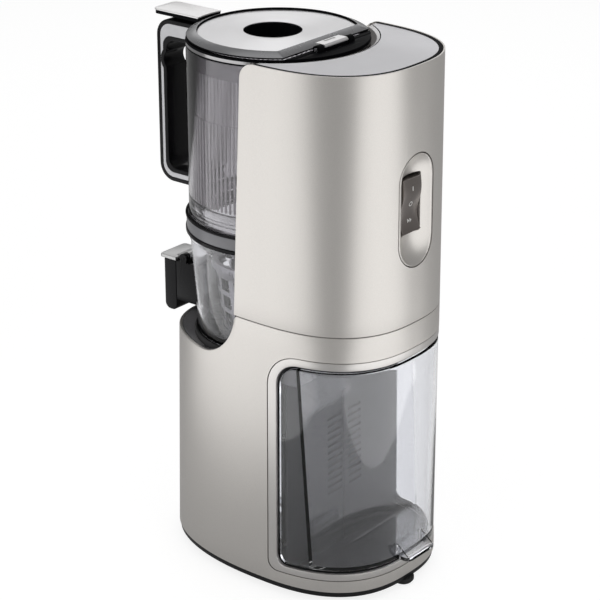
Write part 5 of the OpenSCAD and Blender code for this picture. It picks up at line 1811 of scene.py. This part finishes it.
@dataclass
class Hopper:
    """Smoked hopper with ribs, sleeve, bright rim and the collar rings."""

    wall: float = 2.4
    seat_step: float = 14.0
    neck_h: float = 6.0
    ribs: int = 108
    rib_w: float = 1.7
    rib_t: float = 1.2
    dark_h: float = 13.0

    def __post_init__(self) -> None:
        """Places the hopper by its CAD nodes."""
        self.r = span("hopper_wall", 0)[1]
        self.foot_z = span("collar_rings", 2)[1]
        self.rim_z = span("hopper_wall", 2)[1]
        self.sleeve_z = span("hopper_sleeve", 2)[0]

    def build(self) -> None:
        """Builds the hopper's pieces."""
        self.shell()
        low = self.foot_z + self.seat_step + 1
        self.rib_ring("hopper_ribs", self.r - self.wall, low, self.sleeve_z - 0.6)
        self.rib_ring("sleeve_ribs", self.r - self.wall - 1.5, self.sleeve_z + 0.2, self.rim_z - self.dark_h)
        self.sleeve()
        self.rim()
        self.collar_band()
        self.collar_rings()

    def shell(self) -> None:
        """The smoked wall, stepped in at its foot to sit in the chamber."""
        inner, neck = self.r - self.wall, self.r - self.seat_step
        corners = [(self.r, self.foot_z), (self.r, self.rim_z), (inner, self.rim_z),
                   (inner, self.foot_z + self.seat_step), (neck, self.foot_z + 2), (neck, self.foot_z - self.neck_h),
                   (neck + 2.5, self.foot_z - self.neck_h), (neck + 2.5, self.foot_z)]
        profile = rounded(corners, [1.2, 0.4, 0.4, 4.0, 2.0, 0.4, 0.4, 0.8], 4)
        wall = Solid().turned(profile, AXIS, steps=200).made("hopper_wall_smoke")
        dressed(wall, "hopper", [SMOKE], ["hopper_wall"])

    def rib_ring(self, name: str, radius: float, low: float, high: float) -> None:
        """Upright ribs inside the wall, repeated by geometry nodes.

        Args:
            name: Name of the piece.
            radius: Radius of the face that the ribs stand on.
            low: Height of their feet.
            high: Height of their heads.
        """
        half, deep = self.rib_w / 2, self.rib_t
        section = [(-deep * math.sin(math.radians(a)), half * math.cos(math.radians(a))) for a in range(0, 181, 30)]
        levels = ((low, 0.3), (low + 1.5, 1.0), (high - 0.4, 1.0), (high, 0.6))
        solid = Solid().loft([[(u * s, v * s, z) for u, v in section] for z, s in levels])
        ribs = repeated(name, solid.made("rib"), repeat_item(), {
            "Count": self.ribs, "Start": (0.0, AXIS[1] * MM, 0.0), "Radius": (radius - 0.12) * MM,
            "Turn": math.tau / self.ribs, "Finish": RIBS.material()})
        dressed(ribs, "hopper", [RIBS])

    def sleeve(self) -> None:
        """The inner sleeve, dark along its head."""
        r = span("hopper_sleeve", 0)[1]
        low, high = span("hopper_sleeve", 2)
        edge = high - self.dark_h
        profile = [(r, low + 0.2), (r, edge), (r, high - 0.2), (r - 0.2, high), (r - 1.2, high), (r - 1.4, high - 0.2),
                   (r - 1.4, edge), (r - 1.4, low + 0.2), (r - 1.2, low), (r - 0.2, low)]
        solid = Solid().turned(profile, AXIS, steps=200, tone=[1, 0, 0, 0, 0, 0, 1, 1, 1, 1])
        sleeve = solid.made("hopper_sleeve_smoke")
        dressed(sleeve, "hopper", [SMOKE_DARK, SMOKE_LIGHT], ["hopper_sleeve"])

    def collar_band(self) -> None:
        """The collar's dark band."""
        r, (low, high) = span("collar_band", 0)[1], span("collar_band", 2)
        profile = rounded([(r, low), (r, high), (r - 3.2, high), (r - 3.2, low)], 0.5, 4)
        band = Solid().turned(profile, AXIS, steps=200).made("collar_band_grey")
        dressed(band, "hopper", [COLLAR], ["collar_band"])

    def rim(self) -> None:
        """The rim: a bright band between two black lines."""
        r = span("rim_band", 0)[1]
        low, high = span("rim_band", 2)
        profile = [(r - 3, low), (r - 0.35, low), (r - 0.35, low + 0.9), (r, low + 1.2), (r, high - 1.6),
                   (r - 0.35, high - 1.3), (r - 0.35, high - 0.3), (r - 0.6, high), (r - 3, high)]
        solid = Solid().turned(profile, AXIS, steps=200, tone=[1, 1, 1, 0, 1, 1, 1, 1, 1])
        rim = solid.made("rim_band_bright")
        dressed(rim, "hopper", [BRIGHT, BLACK_WITH_PAINTED_SHADE], ["rim_band"])

    def collar_rings(self) -> None:
        """The two black rings of the collar."""
        r = span("collar_rings", 0)[1]
        low, high = span("collar_rings", 2)
        band_low, band_high = span("collar_band", 2)
        solid = Solid()
        for z0, z1 in ((low, band_low), (band_high, high)):
            solid.turned(rounded([(r, z0), (r, z1), (r - 4, z1), (r - 4, z0)], 0.45, 4), AXIS, steps=200)
        rings = solid.made("collar_rings_black")
        dressed(rings, "hopper", [BLACK], ["collar_rings"])


@dataclass
class Handle:
    """Black handle frame with a pale inlay on each side."""

    grip: float = 9.3
    corner: float = 13.0
    lower: float = 10.5
    upper: float = 16.0
    finger_r: float = 8.0
    bulge_r: float = 7.5
    bulge_drop: float = 31.0
    inlay_edge: float = 3.2
    bulge_in: float = 5.0
    root_in: float = 60.0
    wall_r: float = 66.23
    inlay_r: float = 69.0

    def __post_init__(self) -> None:
        """Places the handle by its CAD node."""
        self.hw = span("handle_frame", 0)[1]
        self.outer_y = span("handle_frame", 1)[0]
        self.low, self.high = span("handle_frame", 2)
        self.root_y = AXIS[1] - self.root_in

    def side(self, shrink: float) -> list[Pair]:
        """Side view of the handle, its outline moved in by shrink.

        Args:
            shrink: How far it is moved in.

        Returns:
            The outline in (y, z).
        """
        out, inner = self.outer_y + shrink, self.outer_y + self.grip - shrink
        low, high = self.low + shrink, self.high - shrink
        floor, roof = self.low + self.lower - shrink, self.high - self.upper + shrink
        bulge, middle, deep = self.bulge_r + shrink, self.high - self.bulge_drop, self.bulge_in + shrink
        turn = math.degrees(math.atan2(math.sqrt(bulge ** 2 - deep ** 2), -deep))
        r = self.corner - shrink
        hollow = arc((self.outer_y + self.grip + self.bulge_in, middle), bulge, 360 - turn, turn, 14)
        outline = [(self.root_y, high), *arc((out + r, high - r), r, 90, 180, 10),
                   *arc((out + r, low + r), r, 180, 270, 10), (self.root_y, low), (self.root_y, floor)]
        outline += arc((inner + self.finger_r, floor + self.finger_r), self.finger_r, 270, 180, 8)
        outline += hollow
        outline += arc((inner + self.finger_r, roof - self.finger_r), self.finger_r, 180, 90, 8)
        return outline + [(self.root_y, roof)]

    def drum(self, radius: float) -> Solid:
        """A drum about the hopper's axis that takes away what lies inside its radius."""
        low, high = self.low - 9, self.high + 9
        return Solid().turned([(0.0, low), (radius, low), (radius, high), (0.0, high)], AXIS, False, 200)

    def build(self) -> None:
        """Builds the frame and its inlays."""
        handle = Solid().drawn(self.side(0), Along.X, -self.hw, self.hw).made("handle_frame_black")
        soften(handle, 1.0, 4, 40)
        recess = Solid()
        for side in (-1, 1):
            recess.drawn(self.side(self.inlay_edge), Along.X, side * (self.hw - 0.8), side * (self.hw + 5))
        combine(handle, [recess])
        combine(handle, [self.drum(self.wall_r)])
        dressed(handle, "hopper", [BLACK], ["handle_frame"])
        for side, label in ((-1, "left"), (1, "right")):
            bed, face = side * (self.hw - 0.78), side * (self.hw - 0.25)
            inlay = Solid().drawn(self.side(self.inlay_edge + 0.3), Along.X, bed, face).made(f"handle_inlay_{label}")
            combine(inlay, [self.drum(self.inlay_r)])
            dressed(inlay, "hopper", [INLAY], ["handle_inlay"])


@dataclass
class Lid:
    """Grey ring cut off by a chord, silver disc with feed hole, tongue and hinge bracket."""

    chord: float = 44.0
    disc_drop: float = 1.5
    feed_r: float = 21.0
    feed_shift: float = 5.0

    def __post_init__(self) -> None:
        """Places the lid by its CAD nodes."""
        self.low, self.high = span("lid_ring", 2)
        self.ring_r = span("lid_ring", 0)[1]
        self.disc_r = span("lid_disc", 0)[1]

    def outline(self, inset: float, z: float, radius: float | None = None, chord: float | None = None,
                corner: float = 2.0) -> Loop:
        """The lid's outline, a circle cut off by a chord with round corners.

        Args:
            inset: How far the outline is moved in.
            z: Height of the points.
            radius: The circle's radius, or None for the ring's.
            chord: The chord's distance behind the axis, or None for the lid's.
            corner: Radius of the two corners.

        Returns:
            The loop's points.
        """
        r, c = (radius or self.ring_r) - inset, (chord or self.chord) - inset
        # centre of the corner's own circle, inside both the circle and the chord
        cy = c - corner
        cx = math.sqrt((r - corner) ** 2 - cy ** 2)
        start = math.degrees(math.atan2(cy, cx))
        right = arc((cx, cy), corner, 90, start, 6)
        big = arc((0, 0), r, start, -180 - start, 150)[1:-1]
        left = arc((-cx, cy), corner, 180 - start, 90, 6)
        flat = [(-cx + 2 * cx * i / 30, c) for i in range(1, 30)]
        return [(x, y + AXIS[1], z) for x, y in [*right, *big, *left, *flat]]

    def build(self) -> None:
        """Builds the lid's pieces."""
        self.ring()
        self.disc()
        self.tongue()
        self.bracket()
        refined("lid_under", "lid", BLACK_WITH_PAINTED_SHADE)
        refined("hinge_block", "hopper", BLACK_WITH_PAINTED_SHADE, 0.35)

    def ring(self) -> None:
        """The bevelled grey ring with its black foot, and its inner wall black as painted shade of the gap at the
        disc.
        """
        top = self.high
        steps = [(0.2, self.low), (0.0, self.low + 0.25), (0.0, self.low + 0.7), (0.3, self.low + 1.0),
                 (7.1, top - 0.1), (7.35, top), (7.55, top - 0.08), (7.68, top - 0.3), (7.68, top - 1.8),
                 (9.8, top - 1.85), (9.8, self.low)]
        loops = [self.outline(inset, z) for inset, z in steps]
        # finish 1 makes the foot band, the inner wall and the underside black; on the inner wall it is painted shade
        # of the gap
        solid = Solid().skin(loops, closed=True, tone=[1, 1, 1, 0, 0, 0, 1, 1, 1, 1, 1])
        ring = solid.made("lid_ring_grey")
        dressed(ring, "lid", [RING_GREY, BLACK_WITH_PAINTED_SHADE], ["lid_ring"])

    def disc(self) -> None:
        """The spun silver disc with the feed hole."""
        top = self.high - self.disc_drop
        centre = (0.0, AXIS[1] - self.feed_shift)
        flat = [(x, y) for x, y, _ in self.outline(0, 0, self.disc_r, self.chord - 7.4, 1.5)]
        turns = [i * 360 / 240 for i in range(240)]
        far = [reach_at(flat, centre, a) for a in turns]

        def loop(share: float, z: float, shrink: float = 0.0, grow: float = 0.0) -> Loop:
            """A loop between the feed hole (share 0) and the rim (share 1)."""
            near = [self.feed_r + grow] * len(far)
            return [(x, y, z) for x, y in between(centre, near, [r - shrink for r in far], share)]

        loops = [loop(0, top - 1.2), loop(0, top - 0.5), loop(0, top - 0.15, 0, 0.15), loop(0, top, 0, 0.5)]
        loops += [loop(s, top) for s in (0.1, 0.25, 0.4, 0.55, 0.7, 0.85, 0.95)]
        loops += [loop(1, top, 0.45), loop(1, top - 0.12, 0.12), loop(1, top - 0.45), loop(1, top - 1.2)]
        disc = Solid().skin(loops, closed=True).made("lid_disc_spun")
        dressed(disc, "lid", [LID_DISC], ["lid_disc"])

    def tongue(self) -> None:
        """The tongue over the handle: a silver plate on a black underside."""
        hw, y0, high = span("lid_tongue", 0)[1], span("lid_tongue", 1)[0], span("lid_tongue", 2)[1]
        r = self.ring_r + 0.15
        root = [(x, AXIS[1] - math.sqrt(r * r - x * x)) for x in (hw * (1 - i / 6) for i in range(13))]
        front = rounded([(-hw, y0), (hw, y0), (hw, y0 + 30), (-hw, y0 + 30)], [5, 5, 0, 0], 8)[:-2]
        outline = front + root
        plate = soften(Solid().drawn(outline, Along.Z, high - 1.1, high).made("lid_tongue_silver"), 0.35, 3, 50)
        dressed(plate, "lid", [LID_PLATE], ["lid_tongue"])
        inset = [(x * 0.96, y0 + (y - y0) * 0.985 + 0.4) for x, y in outline]
        under = Solid().drawn(inset, Along.Z, self.low, high - 1.12).made("lid_tongue_under")
        dressed(under, "lid", [BLACK_WITH_PAINTED_SHADE])

    def bracket(self) -> None:
        """The hinge bracket, with a slot engraved in its top."""
        hw, y0 = span("lid_bracket", 0)[1], span("lid_bracket", 1)[0]
        pin_y, pin_z = sum(span("hinge_pin", 1)) / 2, sum(span("hinge_pin", 2)) / 2
        low, high = self.low + 1.9, self.low + 4.2
        back = pin_y + 2.9
        plate = rounded([(y0, low), (back, low), (back, high - 1.3), (back - 1.3, high), (y0, high)],
                        [0.1, 0.3, 0.4, 0.4, 0.1])
        bracket = Solid().drawn(plate, Along.X, -hw, hw).made("lid_bracket_silver")
        slot = box_outline(-6, y0 + 1.2, 6, y0 + 3.4, 0.6)
        bore = circle((pin_y, pin_z), 1.65, 24)
        combine(bracket, [Solid().drawn(slot, Along.Z, high - 0.5, high + 3), Solid().drawn(bore, Along.X, -30, 30)])
        knuckle = Solid().tube((pin_y, pin_z), 1.65, 2.95, hw - 0.05)
        dressed(knuckle.made("lid_knuckle_black"), "lid", [BLACK_WITH_PAINTED_SHADE])
        dressed(bracket, "lid", [LID_PLATE], ["lid_bracket"])


# ---- underside, drive and studio ----


@dataclass
class Underside:
    """Base plate, feet, screws and the cord's gland."""

    feet: tuple[Pair, ...] = ((56, -4), (46, 66), (0, 95), (24, -84))

    def build(self) -> None:
        """Builds the pieces under the body."""
        refined("base_plate", "housing", BLACK_SATIN, 0.4)
        refined("base_screws", "housing", STEEL)
        refined("cord_gland", "housing", RUBBER, 0.4)
        high = span("rubber_feet", 2)[1]
        profile = [(0, 0), (5.6, 0), (6.4, 0.5), (6.9, 1.2), (7.6, 1.9), (7.95, 2.6), (7.95, high), (0, high)]
        solid = Solid()
        for x, y in self.feet:
            for place in {(x, y), (-x, y)}:
                solid.turned(profile, place, closed=False, steps=64)
        feet = solid.made("rubber_feet_round")
        dressed(feet, "housing", [RUBBER], ["rubber_feet"])


@dataclass(frozen=True)
class SoftBox:
    """A soft rectangular lamp that stands round the juicer, unseen by the camera."""

    name: str
    azimuth: float
    reach: float
    height: float
    tilt: float
    width: float
    length: float
    glow: float
    colour: Colour = (1.0, 1.0, 1.0)

    def build(self) -> None:
        """The lamp, turned to the upright axis and tilted up from level."""
        lamp = bpy.data.lights.new(self.name, "AREA")
        lamp.shape, lamp.size, lamp.size_y = "RECTANGLE", self.width, self.length
        lamp.energy, lamp.color = self.glow * math.pi * self.width * self.length, self.colour
        a, t = math.radians(self.azimuth), math.radians(self.tilt)
        away = Vector((math.sin(a), -math.cos(a), 0))
        obj = bpy.data.objects.new(self.name, lamp)
        bpy.context.scene.collection.objects.link(obj)
        obj.location = away * self.reach + Vector((0, 0, self.height))
        obj.rotation_mode = "QUATERNION"
        obj.rotation_quaternion = (Vector((0, 0, math.sin(t))) - away * math.cos(t)).to_track_quat("-Z", "Y")
        obj.visible_camera = False


@dataclass
class Studio:
    """Camera, lamps, pale floor and world."""

    azimuth: float = 127.9047
    elevation: float = 22.3226
    roll: float = 0.2067
    distance: float = 1.6639
    lens: float = 136.84
    sensor: float = 36.0
    shift: Pair = (-0.06195, 0.01178)
    target: Point = (0.0, 0.0314, 0.205)
    world_level: float = 0.31
    boxes: tuple[SoftBox, ...] = (
        SoftBox("left_card", 60, 0.56, 0.26, 44, 0.58, 0.90, 1.04),
        SoftBox("right_card", 180, 0.56, 0.26, 44, 0.62, 0.90, 1.04),
        SoftBox("back_box", 308, 1.60, 1.20, -26, 1.5, 0.9, 0.95),
        SoftBox("top_box", 128, 0.10, 1.70, -88, 1.4, 1.4, 0.55))

    def build(self) -> None:
        """Builds the studio round the juicer."""
        for box in self.boxes:
            box.build()
        self.camera()
        self.floor()
        self.world()

    def camera(self) -> None:
        """The camera at the photograph's viewing angle."""
        lens = bpy.data.cameras.new("camera")
        lens.lens, lens.sensor_width, lens.sensor_fit = self.lens, self.sensor, "HORIZONTAL"
        lens.shift_x, lens.shift_y = self.shift
        lens.clip_start, lens.clip_end = 0.05, 50
        camera = bpy.data.objects.new("camera", lens)
        bpy.context.scene.collection.objects.link(camera)
        a, e = math.radians(self.azimuth), math.radians(self.elevation)
        back = Vector((math.sin(a) * math.cos(e), -math.cos(a) * math.cos(e), math.sin(e)))
        camera.location = Vector(self.target) + back * self.distance
        turn = (-back).to_track_quat("-Z", "Y").to_matrix()
        camera.rotation_mode = "QUATERNION"
        camera.rotation_quaternion = (turn @ Matrix.Rotation(math.radians(self.roll), 3, "Z")).to_quaternion()
        bpy.context.scene.camera = camera

    def floor(self) -> None:
        """The pale floor, curved up at its far rim."""
        profile = [(0.0, 0.0), (400.0, 0.0), (1500.0, 0.0), (5000.0, 0.0), (5600.0, 150.0), (5900.0, 600.0)]
        floor = Solid().turned(profile, (0, 0), closed=False, steps=96).made("studio_floor")
        floor.data.materials.append(GROUND.material())
        floor.data.shade_smooth()
        floor.location.z = -0.0002

    def world(self) -> None:
        """A pale even world that looks white to the camera."""
        world = bpy.data.worlds.new("studio_world")
        bpy.context.scene.world = world
        world.use_nodes = True
        world.node_tree.nodes.clear()
        graph = Graph(world.node_tree)
        path = graph.add("ShaderNodeLightPath")
        seen = graph.math("MAXIMUM", path.outputs["Is Camera Ray"], path.outputs["Is Transmission Ray"])
        level = graph.remap(seen, 0, 1, self.world_level, 1.0)
        light = graph.add("ShaderNodeBackground", {"Color": (1, 1, 1, 1), "Strength": level}).outputs[0]
        graph.add("ShaderNodeOutputWorld", {"Surface": light})


def dress_rest() -> None:
    """Gives every CAD node that still shows the finish of its material slot."""
    slots = {row["node"]: row["material_slot"] for row in frame["record"]["subparts"]}
    for name, node in frame["nodes"].items():
        if not node.hide_render:
            node.data.materials.clear()
            node.data.materials.append(SLOT_FINISH[slots[name]].material())
            LOG.info("CAD node %s in %s", name, slots[name])


def main() -> None:
    """Builds the juicer's pieces and the studio."""
    logging.basicConfig(level=logging.INFO, format="%(message)s")
    bpy.context.scene.view_settings.view_transform = "Standard"
    for part in (Column(), SwitchStation(), PulpBay(), PulpBin(), PressChamber(), JuiceSpout(), Hopper(), Handle(),
                 Lid(), Underside()):
        LOG.info("building %s", type(part).__name__)
        part.build()
    dress_rest()
    Studio().build()


if __name__ == "__main__":
    main()
